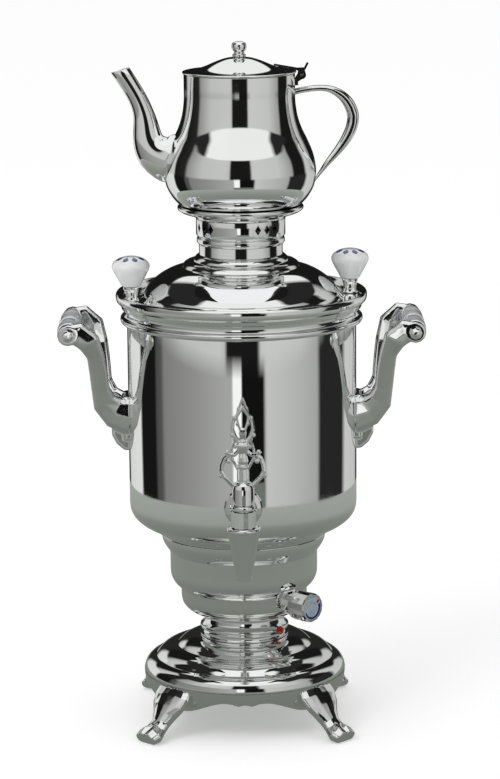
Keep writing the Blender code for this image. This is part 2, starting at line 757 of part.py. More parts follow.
def foot_ring(row, along):
    """Ring round the leg; toe lobes swell its upper side, and the floor cuts its lower side."""
    reach, level, half_width, half_depth, lobes = row
    normal = Vector((-along.z, 0.0, along.x))
    ring = []
    for index in range(FOOT_SIDES):
        angle = math.tau * index / FOOT_SIDES
        deep, wide = math.sin(angle), math.cos(angle)
        if deep > 0:
            groove = 1 - abs(math.sin(FOOT_TOE_COUNT * angle))
            deep = deep * (1 - lobes * FOOT_TOE_RELIEF_share * groove)
        point = Vector((reach, 0.0, level)) + normal * deep * half_depth
        point.y = wide * half_width
        point.z = max(point.z, 0.0)
        ring.append(point)
    return ring


def make_feet():
    rows = [(a * FOOT_REACH, b * FOOT_HEIGHT, c * FOOT_HALF_WIDTH, d * FOOT_HALF_DEPTH, e)
            for a, b, c, d, e in foot_station_shares]
    centres = [Vector((row[0], 0.0, row[1])) for row in rows]
    rings = [foot_ring(row, along) for row, along in zip(rows, directions_along(centres))]
    outer = skirt_line()
    line = [(SKIRT_RADIUS, SKIRT_TOP + SKIRT_DEPTH)] + outer + [(outer[-1][0], -CUT_OVERRUN)]
    clearance = revolve("skirt_clearance", solid_within(line, GAP), segments=SKIRT_SEGMENTS)
    first = loft("foot_front_right", rings, "chrome")
    apply_cuts(cut(first, clearance))
    first.rotation_euler = (0.0, 0.0, -math.pi / 4)
    names = ("foot_back_right", "foot_back_left", "foot_front_left")
    for turn, name in enumerate(names):
        copy_turned(first, name, "chrome", math.pi / 4 + turn * math.pi / 2)


def make_neck():
    width = NECK_BEAD - NECK_RADIUS
    line = scaled(neck_outline_shares, width, NECK_HEIGHT, NECK_FOOT, NECK_RADIUS)
    outline = line + [(NECK_BORE, NECK_FOOT), (NECK_BORE, NECK_TOP)]
    neck = revolve("neck", outline, "chrome", NECK_SEGMENTS, loop=True)
    place = outward(LAMP_AZIMUTH, NECK_FOOT + NECK_HEIGHT * LAMP_HEIGHT_share)
    cut(neck, cylinder("lamp_hole", LAMP_STEM + GAP, 0.0, NECK_BEAD + CUT_OVERRUN, segments=PIN_SEGMENTS,
                       place=place))
    seat = NECK_BEAD + GAP
    lens = scaled(lamp_shares, LAMP_RADIUS, LAMP_HEAD, seat)
    lens += [(LAMP_STEM, seat), (LAMP_STEM, seat - LAMP_LENGTH), (0.0, seat - LAMP_LENGTH)]
    revolve("pilot_lamp", lens, "red_lens", PIN_SEGMENTS, place=place)


# Housing and the electrics in it

def housing_line():
    return scaled(housing_outline_shares, HOUSING_TOP_RADIUS, HOUSING_HEIGHT, HOUSING_FOOT)


def make_housing():
    line = housing_line() + [(TIE_ROD_RADIUS + GAP, HOUSING_FOOT)]
    housing = revolve("lower_housing", shell(line, HOUSING_WALL), "chrome", loop=True)
    clearance = revolve("housing_clearance", solid_within(housing_line(), GAP))
    make_thermostat(housing, clearance)
    make_inlet(housing, clearance)
    block_z = HOUSING_FOOT + HOUSING_WALL + GAP + BLOCK_HEIGHT / 2
    box("terminal_block", (BLOCK_LENGTH, BLOCK_WIDTH, BLOCK_HEIGHT), (BLOCK_PLACE_X, BLOCK_PLACE_Y, block_z),
        "porcelain")


def make_thermostat(housing, clearance):
    place = outward(THERMOSTAT_AZIMUTH, THERMOSTAT_Z)
    wall_radius = radius_at(housing_line(), THERMOSTAT_Z)
    inner_radius = wall_radius - HOUSING_WALL
    boss_end = wall_radius + BOSS_LENGTH
    knob_start = boss_end + GAP
    knob_end = knob_start + DIAL_DEPTH
    shaft_hole = SHAFT_RADIUS + GAP
    cut(housing, cylinder("shaft_hole", shaft_hole, inner_radius - SHAFT_IN_SWITCH, boss_end, segments=PIN_SEGMENTS,
                          place=place))
    boss = cylinder("thermostat_boss", BOSS_RADIUS, inner_radius - HOUSING_WALL, boss_end, "chrome",
                    place=place, bore=shaft_hole)
    cut(boss, clearance)
    lowest = radius_at(inset(housing_line(), HOUSING_WALL), THERMOSTAT_Z - SWITCH_RADIUS)
    switch_end = math.sqrt(lowest ** 2 - SWITCH_RADIUS ** 2) - GAP
    switch_start = switch_end - SWITCH_LENGTH
    shaft_start = switch_end - SHAFT_IN_SWITCH
    shaft_end = knob_start + SHAFT_IN_KNOB
    switch = [(0.0, shaft_start - GAP), (shaft_hole, shaft_start - GAP), (shaft_hole, switch_end),
              (SWITCH_RADIUS, switch_end), (SWITCH_RADIUS, switch_start), (0.0, switch_start)]
    revolve("thermostat_switch", switch, "black_plastic", SMALL_SEGMENTS, place=place)
    shaft = cylinder("thermostat_shaft", SHAFT_RADIUS, shaft_start, shaft_end, "steel", PIN_SEGMENTS, place)
    face_seat = knob_end - DIAL_FACE_RECESS
    rim = DIAL_RADIUS - DIAL_FACE_RADIUS - GAP
    knob = [(0.0, face_seat), (DIAL_FACE_RADIUS + GAP, face_seat), (DIAL_FACE_RADIUS + GAP, knob_end),
            (DIAL_RADIUS - rim / 2, knob_end), (DIAL_RADIUS, knob_end - rim), (DIAL_RADIUS, knob_start + rim / 2),
            (DIAL_RADIUS - rim / 2, knob_start), (shaft_hole, knob_start), (shaft_hole, shaft_end + GAP),
            (0.0, shaft_end + GAP)]
    dial_knob = revolve("thermostat_knob", knob, "chrome", FINE_SEGMENTS, place=place)
    face = cylinder("thermostat_dial", DIAL_FACE_RADIUS, face_seat + GAP, face_seat + GAP + DIAL_FACE_THICKNESS,
                    "dial", FINE_SEGMENTS, place)
    on_axis("thermostat_axis", place, (shaft, dial_knob, face))


def make_inlet(housing, clearance):
    level = HOUSING_FOOT + HOUSING_HEIGHT * INLET_LEVEL_share
    wall_radius = radius_at(housing_line(), level)
    front = wall_radius + INLET_FLANGE_THICKNESS
    middle = front - INLET_DEPTH / 2
    body = box("mains_inlet", (INLET_WIDTH, INLET_DEPTH, INLET_HEIGHT), (0.0, middle, level), "black_plastic")
    flange_size = (INLET_WIDTH + 2 * INLET_FLANGE, INLET_FLANGE_ROOT, INLET_HEIGHT + 2 * INLET_FLANGE)
    flange = box("inlet_flange", flange_size, (0.0, front - INLET_FLANGE_ROOT / 2, level))
    cut(flange, clearance)
    recess_size = (INLET_WIDTH - 2 * INLET_WALL, INLET_DEPTH, INLET_HEIGHT - 2 * INLET_WALL)
    recess = box("inlet_recess", recess_size, (0.0, middle + INLET_FLOOR, level))
    join(body, flange)
    cut(body, recess)
    pin_y = INLET_PIN_LENGTH / 2 + front - INLET_DEPTH + INLET_FLOOR - INLET_WALL
    for index, spot in enumerate((-1, 0, 1)):
        drop = -INLET_EARTH_DROP if spot else INLET_EARTH_DROP
        pin = box(f"inlet_pin_{index}", (INLET_PIN_WIDTH, INLET_PIN_LENGTH, INLET_PIN_HEIGHT),
                  (spot * INLET_PIN_SPREAD, pin_y, level + drop))
        join(body, pin)
    window = box("inlet_window", (INLET_WIDTH + 2 * GAP, INLET_DEPTH, INLET_HEIGHT + 2 * GAP),
                 (0.0, middle, level))
    cut(housing, window)


def make_tie_rod():
    head_top = TANK_FOOT - GAP
    washer_top = DOME_TOP - DOME_WALL - GAP
    washer_foot = washer_top - TIE_WASHER_THICKNESS
    nut_top = washer_foot - GAP
    nut_foot = nut_top - TIE_NUT_HEIGHT
    rod_foot = nut_foot - TIE_ROD_SPARE
    head_foot = head_top - TIE_HEAD_HEIGHT
    outline = [(0.0, head_top), (TIE_HEAD_RADIUS, head_top), (TIE_HEAD_RADIUS, head_foot),
               (TIE_ROD_RADIUS, head_foot), (TIE_ROD_RADIUS, rod_foot), (0.0, rod_foot)]
    revolve("tie_rod", outline, "steel", PIN_SEGMENTS)
    bore = (TIE_ROD_RADIUS + GAP) / math.cos(math.pi / PIN_SEGMENTS)
    cylinder("tie_washer", TIE_WASHER_RADIUS, washer_foot, washer_top, "steel", FINE_SEGMENTS, bore=bore)
    nut = cylinder("tie_nut", TIE_NUT_RADIUS, nut_foot, nut_top, "steel", NUT_SIDES)
    cut(nut, cylinder("tie_nut_bore", bore, nut_foot - CUT_OVERRUN, nut_top + CUT_OVERRUN, segments=PIN_SEGMENTS))


# Tank and the pieces fixed to it

def tank_line():
    bend = scaled(tank_bend_shares, TANK_RADIUS, TANK_BEND_HEIGHT, TANK_FOOT)
    return [(TANK_RADIUS, TANK_TOP)] + bend + [(HOUSING_TOP_RADIUS, TANK_FOOT)]


def make_tank():
    line = tank_line()
    inner = inset(line + [(0.0, TANK_FOOT)], TANK_WALL)
    tank = revolve("tank", [(0.0, TANK_FOOT)] + line[::-1] + inner, "chrome")
    ring_foot = TANK_TOP - RIM_RING_HEIGHT
    ring_bore = TANK_RADIUS + GAP
    ring = scaled(rim_ring_shares, RIM_RING_WIDTH, RIM_RING_HEIGHT, ring_foot, ring_bore)
    revolve("rim_ring", ring + [(ring_bore, ring_foot), (ring_bore, TANK_TOP)], "chrome", loop=True)
    make_element(tank)
    lift = TANK_FOOT - GAP
    place = Matrix.Translation((CUTOUT_PLACE, 0.0, 0.0))
    cylinder("dry_boil_cutout", CUTOUT_RADIUS, lift - CUTOUT_HEIGHT, lift, "black_plastic", place=place)
    return make_tap(tank)


def make_element(tank):
    """Immersed heating tube: a ring with both legs down through the floor, held by nuts."""
    level = TANK_FOOT + ELEMENT_LIFT
    foot = TANK_FOOT - ELEMENT_LEG_DROP
    sweep = math.tau - 2 * ELEMENT_LEG_ANGLE
    ring = []
    for step in range(ELEMENT_STEPS + 1):
        angle = math.pi / 2 + ELEMENT_LEG_ANGLE + sweep * step / ELEMENT_STEPS
        ring.append((ELEMENT_RING_RADIUS * math.cos(angle), ELEMENT_RING_RADIUS * math.sin(angle), level))
    legs = [(ring[0][0], ring[0][1], foot), (ring[-1][0], ring[-1][1], foot)]
    curve = bpy.data.curves.new("heating_element", "CURVE")
    curve.dimensions = "3D"
    curve.bevel_depth = ELEMENT_TUBE_RADIUS
    curve.bevel_resolution = 2
    curve.use_fill_caps = True
    points = [legs[0]] + ring + [legs[1]]
    spline = curve.splines.new("POLY")
    spline.points.add(len(points) - 1)
    for target, point in zip(spline.points, points):
        target.co = (*point, 1.0)
    element = bpy.data.objects.new("heating_element", curve)
    bpy.context.collection.objects.link(element)
    curve.materials.append(make_material("heating_element", "steel"))
    for name, leg in zip(("element_nut_left", "element_nut_right"), legs):
        place = Matrix.Translation((leg[0], leg[1], 0.0))
        bore = ELEMENT_TUBE_RADIUS / math.cos(math.pi / PIN_SEGMENTS) + GAP
        floor_top = TANK_FOOT + TANK_WALL + CUT_OVERRUN
        hole = cylinder(name + "_hole", bore, foot, floor_top, segments=PIN_SEGMENTS, place=place)
        cut(tank, hole)
        top = TANK_FOOT - GAP
        nut = cylinder(name, ELEMENT_NUT_RADIUS, top - ELEMENT_NUT_HEIGHT, top, "brass", NUT_SIDES, place)
        cut(nut, hole)


# Tap

def make_tap(tank):
    """Tap with its seal and nut inside the wall; gives back the tool that clears the tank's wall."""
    axis = Matrix.Translation((0.0, TAP_Y, 0.0))
    level = Matrix.Translation((0.0, 0.0, TAP_Z)) @ Matrix.Rotation(math.pi / 2, 4, "X")
    wall = TANK_RADIUS
    shank_end = wall - TAP_SHANK_INSIDE
    barrel = cylinder("tap_body", TAP_BARREL_RADIUS, TAP_BARREL_FOOT, TAP_BARREL_TOP, "chrome",
                      FINE_SEGMENTS, axis)
    pipe_end = -TAP_Y - TAP_BARREL_RADIUS / 2
    way_end = -TAP_Y - TAP_PLUG_RADIUS / 2
    pipe = cylinder("tap_pipe", TAP_PIPE_RADIUS, shank_end, pipe_end, segments=SMALL_SEGMENTS, place=level)
    way = cylinder("tap_way", TAP_PIPE_BORE, shank_end - CUT_OVERRUN, way_end, segments=PIN_SEGMENTS, place=level)
    seat = cylinder("tap_seat", TAP_PLUG_RADIUS + GAP, TAP_BARREL_FOOT - CUT_OVERRUN, TAP_BARREL_TOP + CUT_OVERRUN,
                    segments=FINE_SEGMENTS, place=axis)
    join(barrel, pipe)
    cut(barrel, way, seat)
    pipe_fit = TAP_PIPE_RADIUS + GAP
    cut(tank, cylinder("tap_wall_hole", pipe_fit, shank_end, wall + CUT_OVERRUN, place=level))
    tank_clearance = revolve("tank_clearance", [(0.0, LID_FOOT), (wall + GAP, LID_FOOT),
                                                (wall + GAP, TANK_FOOT), (0.0, TANK_FOOT)])
    escutcheon_end = wall + ESCUTCHEON_THICKNESS
    lip = ESCUTCHEON_LIP
    side = math.sqrt(wall ** 2 - ESCUTCHEON_RADIUS ** 2) - lip
    plate = [(ESCUTCHEON_RADIUS * ESCUTCHEON_DISH_share, escutcheon_end),
             (ESCUTCHEON_RADIUS - lip, escutcheon_end - lip),
             (ESCUTCHEON_RADIUS, escutcheon_end - 2 * lip), (ESCUTCHEON_RADIUS, side), (pipe_fit, side),
             (pipe_fit, escutcheon_end)]
    cut(revolve("tap_escutcheon", plate, "chrome", FINE_SEGMENTS, loop=True, place=level), tank_clearance)
    inner_wall = wall - TANK_WALL - GAP
    seal_end = math.sqrt(inner_wall ** 2 - SEAL_RADIUS ** 2) - SEAL_THICKNESS
    seal = cylinder("tap_seal", SEAL_RADIUS, seal_end, wall, "rubber", SMALL_SEGMENTS, level, bore=pipe_fit)
    tank_room = revolve("tank_room", [(0.0, LID_FOOT), (inner_wall, LID_FOOT), (inner_wall, TANK_FOOT),
                                      (0.0, TANK_FOOT)])
    combine(seal, tank_room, "INTERSECT")
    nut_end = seal_end - GAP
    nut = cylinder("tap_inner_nut", NUT_RADIUS, nut_end - NUT_THICKNESS, nut_end, "brass", NUT_SIDES, level)
    cut(nut, cylinder("tap_nut_bore", pipe_fit, shank_end - CUT_OVERRUN, wall, place=level))
    make_tap_spout(axis)
    make_tap_key(axis)
    return tank_clearance


def make_tap_spout(axis):
    foot = TAP_BARREL_FOOT - GAP - TAP_SPOUT_LENGTH
    line = scaled(tap_spout_shares, TAP_SPOUT_TOP_RADIUS, TAP_SPOUT_LENGTH, foot)
    inner_foot = line[-1][0] - TAP_SPOUT_WALL
    outline = line + [(inner_foot, foot), (TAP_PLUG_RADIUS, foot + TAP_SPOUT_LENGTH - TAP_SPOUT_WALL),
                      (TAP_PLUG_RADIUS, foot + TAP_SPOUT_LENGTH)]
    revolve("tap_spout", outline, "chrome", FINE_SEGMENTS, loop=True, place=axis)


def make_tap_key(axis):
    gland_foot = TAP_BARREL_TOP + GAP
    ring = scaled(gland_shares, GLAND_RADIUS, GLAND_HEIGHT, gland_foot)
    bore = TAP_PLUG_RADIUS + GAP
    revolve("tap_gland_ring", ring + [(bore, gland_foot), (bore, GLAND_TOP)], "chrome", FINE_SEGMENTS,
            loop=True, place=axis)
    hub_line = scaled(hub_shares, HUB_RADIUS, HUB_HEIGHT, HUB_FOOT)
    plug_foot = TAP_BARREL_FOOT
    roof = GLAND_TOP - TAP_PLUG_ROOF
    plug = hub_line + [(TAP_PLUG_RADIUS, HUB_FOOT), (TAP_PLUG_RADIUS, plug_foot), (TAP_PLUG_BORE, plug_foot),
                       (TAP_PLUG_BORE, roof), (0.0, roof)]
    hub = revolve("tap_plug", plug, "chrome", FINE_SEGMENTS, place=axis)
    sideways = axis @ Matrix.Translation((0.0, 0.0, TAP_Z)) @ Matrix.Rotation(math.pi / 2, 4, "Y")
    cut(hub, cylinder("plug_port", TAP_PIPE_BORE, 0.0, TAP_PLUG_RADIUS + CUT_OVERRUN, segments=PIN_SEGMENTS,
                      place=sideways))
    key = make_key_bars(axis)
    hub_clearance = revolve("hub_clearance", solid_within(hub_line, GAP), segments=FINE_SEGMENTS, place=axis)
    cut(key, hub_clearance)
    on_axis("tap_axis", axis @ Matrix.Translation((0.0, 0.0, TAP_Z)), (hub, key))


def key_points(rows):
    return [(a * KEY_HALF_WIDTH, HUB_TOP + b * KEY_HEIGHT, c * KEY_BAR_RADIUS) for a, b, c in rows]


def key_bar(name, rows, side, axis):
    """Round cast bar through points of the key, on one side of its stem."""
    rows = [(side * x, z, radius) for x, z, radius in key_points(rows)]
    centres = [Vector((row[0], 0.0, row[1])) for row in rows]
    rings = [section(centre, along, row[2], row[2], KEY_BAR_SIDES)
             for centre, along, row in zip(centres, directions_along(centres), rows)]
    return loft(name, rings, place=axis)


def make_key_bars(axis):
    """Openwork key: turned stem with a capital, two scrolled side bars and a pointed leaf loop."""
    stem = scaled(key_stem_shares, KEY_STEM_RADIUS, KEY_HEIGHT, HUB_TOP)
    key = revolve("tap_key", stem, "chrome", PIN_SEGMENTS, place=axis)
    for side, hand in ((-1, "left"), (1, "right")):
        join(key, key_bar(f"key_side_bar_{hand}", key_side_bar_shares, side, axis))
        join(key, key_bar(f"key_leaf_bar_{hand}", key_leaf_bar_shares, side, axis))
        for index, rows in enumerate(key_hook_shares):
            join(key, key_bar(f"key_hook_{hand}_{index}", rows, side, axis))
        for index, (x, z, radius) in enumerate(key_points(key_volute_shares)):
            turns = [math.pi * step / KEY_BALL_STEPS for step in range(1, KEY_BALL_STEPS)]
            ball = [(radius * math.sin(turn), radius * math.cos(turn)) for turn in turns]
            ball = [(0.0, radius)] + ball + [(0.0, -radius)]
            place = axis @ Matrix.Translation((side * x, 0.0, z)) @ Matrix.Rotation(math.pi / 2, 4, "X")
            join(key, revolve(f"key_volute_{hand}_{index}", ball, segments=KEY_BALL_SIDES, place=place))
    return key


# Carry handles

def arm_rings(side):
    rows = []
    for reach, drop, width, thickness, spread in arm_station_shares:
        rows.append((TANK_RADIUS + reach * GRIP_REACH, GRIP_Z - drop * ARM_DROP, width * ARM_HALF_WIDTH,
                     thickness * ARM_HALF_THICKNESS, spread * GRIP_HALF_SPAN * side))
    centres = [Vector((row[0], row[4], row[1])) for row in rows]
    return [section(centre, along, row[2], row[3], ARM_SIDES, ARM_SQUARENESS)
            for centre, along, row in zip(centres, directions_along(centres), rows)]


def make_carry_handles(tank_clearance):
    across = Matrix.Translation((GRIP_X, 0.0, GRIP_Z)) @ Matrix.Rotation(math.pi / 2, 4, "X")
    ear_inside = GRIP_HALF_SPAN - ARM_HALF_THICKNESS
    ear_outside = GRIP_HALF_SPAN + ARM_HALF_THICKNESS
    casting = loft("handle_casting_right", arm_rings(-1), "chrome")
    join(casting, loft("arm_back", arm_rings(1)))
    for name, sign in (("ear_front", 1), ("ear_back", -1)):
        low, high = sorted((sign * ear_inside, sign * ear_outside))
        join(casting, cylinder(name, EAR_RADIUS, low, high, segments=SMALL_SEGMENTS, place=across))
    pad_z = GRIP_Z - ARM_DROP * PAD_CENTRE_share
    pad_size = (PAD_THICKNESS + CORBEL_REACH, 2 * PAD_HALF_WIDTH, PAD_HEIGHT)
    pad_middle = TANK_RADIUS + PAD_THICKNESS - pad_size[0] / 2
    join(casting, box("handle_pad", pad_size, (pad_middle, 0.0, pad_z)))
    corbel_foot = pad_z - PAD_HEIGHT / 2 - CORBEL_HEIGHT / 2
    corbel = scaled(corbel_shares, CORBEL_REACH, CORBEL_HEIGHT, corbel_foot, TANK_RADIUS)
    join(casting, prism("handle_corbel", corbel, CORBEL_HALF_WIDTH))
    rod_hole = cylinder("grip_rod_hole", GRIP_ROD_RADIUS + GAP, -GRIP_HALF_SPAN * 2, GRIP_HALF_SPAN * 2,
                        segments=PIN_SEGMENTS, place=across)
    apply_cuts(cut(casting, tank_clearance, rod_hole))
    half = ear_inside - GAP
    grip_half = scaled([(b, a) for a, b in grip_shares], GRIP_RADIUS, half)
    outline = grip_half + [(radius, -level) for radius, level in grip_half[-2::-1]]
    bore = GRIP_ROD_RADIUS + GAP
    grip = revolve("grip_right", outline + [(bore, -half), (bore, half)], "porcelain", FINE_SEGMENTS, loop=True,
                   place=across)
    nut_seat = ear_outside + GAP
    rod_end = nut_seat + ACORN_LENGTH * ACORN_GRIP_share - GAP
    rod = cylinder("grip_rod_right", GRIP_ROD_RADIUS, -rod_end, rod_end, "steel", PIN_SEGMENTS, across)
    nut_line = scaled(acorn_shares, ACORN_RADIUS, ACORN_LENGTH, nut_seat)
    blind = nut_seat + ACORN_LENGTH * ACORN_GRIP_share
    nut_outline = nut_line + [(bore, nut_seat), (bore, blind), (0.0, blind)]
    pieces = [(casting, "handle_casting_left", "chrome"), (grip, "grip_left", "porcelain"),
              (rod, "grip_rod_left", "steel")]
    for end, turn in (("front", 0.0), ("back", math.pi)):
        place = across @ Matrix.Rotation(turn, 4, "X")
        nut = revolve(f"grip_nut_{end}_right", nut_outline, "chrome", PIN_SEGMENTS, place=place)
        other = "back" if end == "front" else "front"
        pieces.append((nut, f"grip_nut_{other}_left", "chrome"))
    for source, name, finish in pieces:
        copy_turned(source, name, finish, math.pi)


# Lid and crown

def make_lid():
    flange = scaled(lid_flange_shares, LID_RADIUS, LID_FLANGE, LID_FOOT)
    dome = scaled(lid_dome_shares, LID_RADIUS, LID_HEIGHT, LID_FOOT)
    collar_foot = LID_TOP - LID_COLLAR_HEIGHT
    line = [(LID_COLLAR_RADIUS, LID_TOP), (LID_COLLAR_RADIUS, collar_foot)] + dome
    inner = lining(line, LID_WALL)[::-1]
    spigot = TANK_RADIUS - TANK_WALL - 2 * GAP
    spigot_inner = spigot - LID_WALL
    spigot_foot = LID_FOOT - LID_SPIGOT_DEPTH
    gutter = LID_FOOT + LID_FLANGE * LID_GUTTER_share
    roof = gutter - LID_WALL
    dome_foot = LID_RADIUS * lid_flange_shares[0][0] - LID_WALL
    outline = line + flange + [(spigot, LID_FOOT), (spigot, spigot_foot), (spigot_inner, spigot_foot),
                               (spigot_inner, roof), (dome_foot, roof)]
    revolve("lid", outline + inner, "chrome", loop=True)
    seat = gutter + GAP
    stem = scaled(knob_stem_shares, KNOB_STEM_RADIUS, KNOB_STEM_HEIGHT, seat)
    knob = scaled(knob_shares, KNOB_RADIUS, KNOB_HEIGHT, seat + KNOB_STEM_HEIGHT + GAP)
    for name, side in (("left", -1), ("right", 1)):
        place = Matrix.Rotation(KNOB_TURN, 4, "Z") @ Matrix.Translation((side * KNOB_PLACE_RADIUS, 0.0, 0.0))
        revolve(f"knob_stem_{name}", stem, "chrome", SMALL_SEGMENTS, place=place)
        revolve(f"lid_knob_{name}", knob, "porcelain", SMALL_SEGMENTS, place=place)


def make_crown():
    line = scaled(crown_outline_shares, CROWN_RADIUS, CROWN_HEIGHT, CROWN_FOOT)
    spigot = LID_COLLAR_RADIUS - LID_WALL - GAP
    spigot_foot = CROWN_FOOT - CROWN_SPIGOT_DEPTH
    bore = spigot - CROWN_WALL
    room = CROWN_RADIUS - CROWN_WALL
    waist = CROWN_FOOT + CROWN_HEIGHT * CROWN_WAIST_share
    outline = line + [(spigot, CROWN_FOOT), (spigot, spigot_foot), (bore, spigot_foot), (bore, waist),
                      (room, waist + CROWN_RADIUS - bore - CROWN_WALL), (room, CROWN_TOP)]
    crown = revolve("crown_collar", outline, "chrome", NECK_SEGMENTS, loop=True)
    level = CROWN_FOOT + CROWN_HEIGHT * DIAMOND_HEIGHT_share
    bm = bmesh.new()
    for group in range(DIAMOND_GROUPS):
        for copy in range(DIAMONDS_IN_GROUP):
            azimuth = DIAMOND_GROUP_AZIMUTH + group * math.tau / DIAMOND_GROUPS
            azimuth += (copy - (DIAMONDS_IN_GROUP - 1) / 2) * DIAMOND_PITCH
            place = outward(azimuth, level)
            tip = (DIAMOND_HEIGHT / 2, DIAMOND_WIDTH / 2)
            corners = ((tip[0], 0.0), (0.0, tip[1]), (-tip[0], 0.0), (0.0, -tip[1]))
            near = [bm.verts.new(place @ Vector((x, y, room - CUT_OVERRUN))) for x, y in corners]
            far = [bm.verts.new(place @ Vector((x, y, CROWN_RADIUS + CUT_OVERRUN))) for x, y in corners]
            bm.faces.new(near)
            bm.faces.new(far[::-1])
            for index in range(4):
                after = (index + 1) % 4
                bm.faces.new((near[index], near[after], far[after], far[index]))
    cut(crown, finish_object("diamond_cutters", bm, None))
    gallery = scaled(gallery_shares, GALLERY_RADIUS, GALLERY_HEIGHT, GALLERY_FOOT)
    revolve("gallery", gallery, "chrome", NECK_SEGMENTS, loop=True)


# Teapot

def pot_line():
    return scaled(pot_outline_shares, POT_RADIUS, POT_HEIGHT, POT_FOOT)


def make_teapot():
    line = pot_line()
    inner = lining(line + [(0.0, POT_FOOT)], POT_WALL)
    pot = revolve("teapot_body", [(0.0, POT_FOOT)] + line[::-1] + inner, "chrome", POT_SEGMENTS)
    tall = [(line[0][0], POT_TOP + POT_LID_HEIGHT)] + line
    clearance = revolve("pot_clearance", solid_within(tall, GAP), segments=POT_SEGMENTS)
    make_spout(pot, clearance)
    rows = [(a * HANDLE_REACH, POT_FOOT + b * POT_HEIGHT, c * HANDLE_DEPTH, d * HANDLE_WIDTH)
            for a, b, c, d in handle_station_shares]
    rows = smooth(rows, HANDLE_STEPS)
    centres = [Vector((row[0], 0.0, row[1])) for row in rows]
    rings = [section(centre, along, row[2], row[3], HANDLE_SIDES)
             for centre, along, row in zip(centres, directions_along(centres), rows)]
    cut(loft("teapot_handle", rings, "chrome"), clearance)
    make_hinge(clearance)


def make_spout(pot, clearance):
    rows = [(-a * SPOUT_REACH, POT_FOOT + b * POT_HEIGHT, c * SPOUT_DEPTH, d * SPOUT_WIDTH)
            for a, b, c, d in spout_station_shares]
    centres = [Vector((row[0], 0.0, row[1])) for row in rows]
    along = directions_along(centres)
    along[-1] = Vector((math.sin(SPOUT_LIP_TILT), 0.0, math.cos(SPOUT_LIP_TILT)))
    outer = [section(centre, way, row[2], row[3], SPOUT_SIDES) for centre, way, row in zip(centres, along, rows)]
    inner = [section(centre, way, row[2] - SPOUT_WALL, row[3] - SPOUT_WALL, SPOUT_SIDES)
             for centre, way, row in zip(centres, along, rows)]
    cut(loft("teapot_spout", outer + inner[::-1], "chrome", loop=True), clearance)
    place = Matrix.Translation((0.0, 0.0, rows[0][1])) @ Matrix.Rotation(-math.pi / 2, 4, "Y")
    cut(pot, cylinder("spout_hole", SPOUT_HOLE_RADIUS, POT_MOUTH, POT_RADIUS + CUT_OVERRUN, place=place))


def make_hinge(clearance):
    """Teapot lid with its finial and hinge strap, and the bracket and pin on the body."""
    rim = POT_MOUTH + POT_LID_OVERHANG
    line = scaled(pot_lid_shares, rim, POT_LID_HEIGHT, POT_LID_FOOT)
    skirt = POT_MOUTH - POT_WALL - POT_LID_PLAY
    skirt_inner = skirt - POT_LID_WALL
    skirt_foot = POT_LID_FOOT - POT_LID_SKIRT
    under = [point for point in lining(line, POT_LID_WALL) if point[0] < skirt_inner][::-1]
    top = POT_LID_TOP
    outline = [(0.0, top)] + line + [(skirt, POT_LID_FOOT), (skirt, skirt_foot), (skirt_inner, skirt_foot)]
    outline += [(skirt_inner, under[0][1])] + under + [(0.0, top - POT_LID_WALL)]
    pot_lid = revolve("teapot_lid", outline, "chrome", POT_SEGMENTS)
    finial = revolve("finial", scaled(finial_shares, FINIAL_RADIUS, FINIAL_HEIGHT, top + GAP), "chrome",
                     SMALL_SEGMENTS)
    across = Matrix.Translation((HINGE_X, 0.0, HINGE_Z)) @ Matrix.Rotation(math.pi / 2, 4, "X")
    half_pin = HINGE_PIN_LENGTH / 2
    cylinder("hinge_pin", HINGE_PIN_RADIUS, -half_pin, half_pin, "steel", PIN_SEGMENTS, across)
    bore = cylinder("hinge_bore", HINGE_PIN_RADIUS + GAP, -half_pin - CUT_OVERRUN, half_pin + CUT_OVERRUN,
                    segments=PIN_SEGMENTS, place=across)
    half_knuckle = HINGE_KNUCKLE_WIDTH / 2
    strap = make_hinge_strap(line, half_knuckle)
    cut(strap, bore)
    ear_start = half_knuckle + GAP
    half_bracket = ear_start + HINGE_EAR_WIDTH
    plate_top = HINGE_Z - HINGE_KNUCKLE_RADIUS
    plate_middle = plate_top - HINGE_PLATE_HEIGHT / 2
    plate_size = (HINGE_REACH + HINGE_PLATE_THICKNESS, 2 * half_bracket, HINGE_PLATE_HEIGHT)
    plate_x = POT_MOUTH + GAP + HINGE_PLATE_THICKNESS - plate_size[0] / 2
    bracket = box("hinge_bracket", plate_size, (plate_x, 0.0, plate_middle), "chrome")
    reach = HINGE_KNUCKLE_RADIUS
    ear = [(POT_MOUTH, plate_top), (POT_MOUTH, plate_top - reach), (HINGE_X, HINGE_Z - reach)]
    ear += [(HINGE_X + reach * math.sin(angle), HINGE_Z - reach * math.cos(angle))
            for angle in (math.radians(step) for step in range(30, 271, 30))]
    for name, side in (("hinge_ear_front", -1), ("hinge_ear_back", 1)):
        middle = side * (ear_start + HINGE_EAR_WIDTH / 2)
        join(bracket, prism(name, ear, HINGE_EAR_WIDTH / 2, middle=middle))
    cut(bracket, clearance, bore)
    on_axis("teapot_lid_axis", Matrix.Translation((HINGE_X, 0.0, HINGE_Z)), (pot_lid, finial, strap))


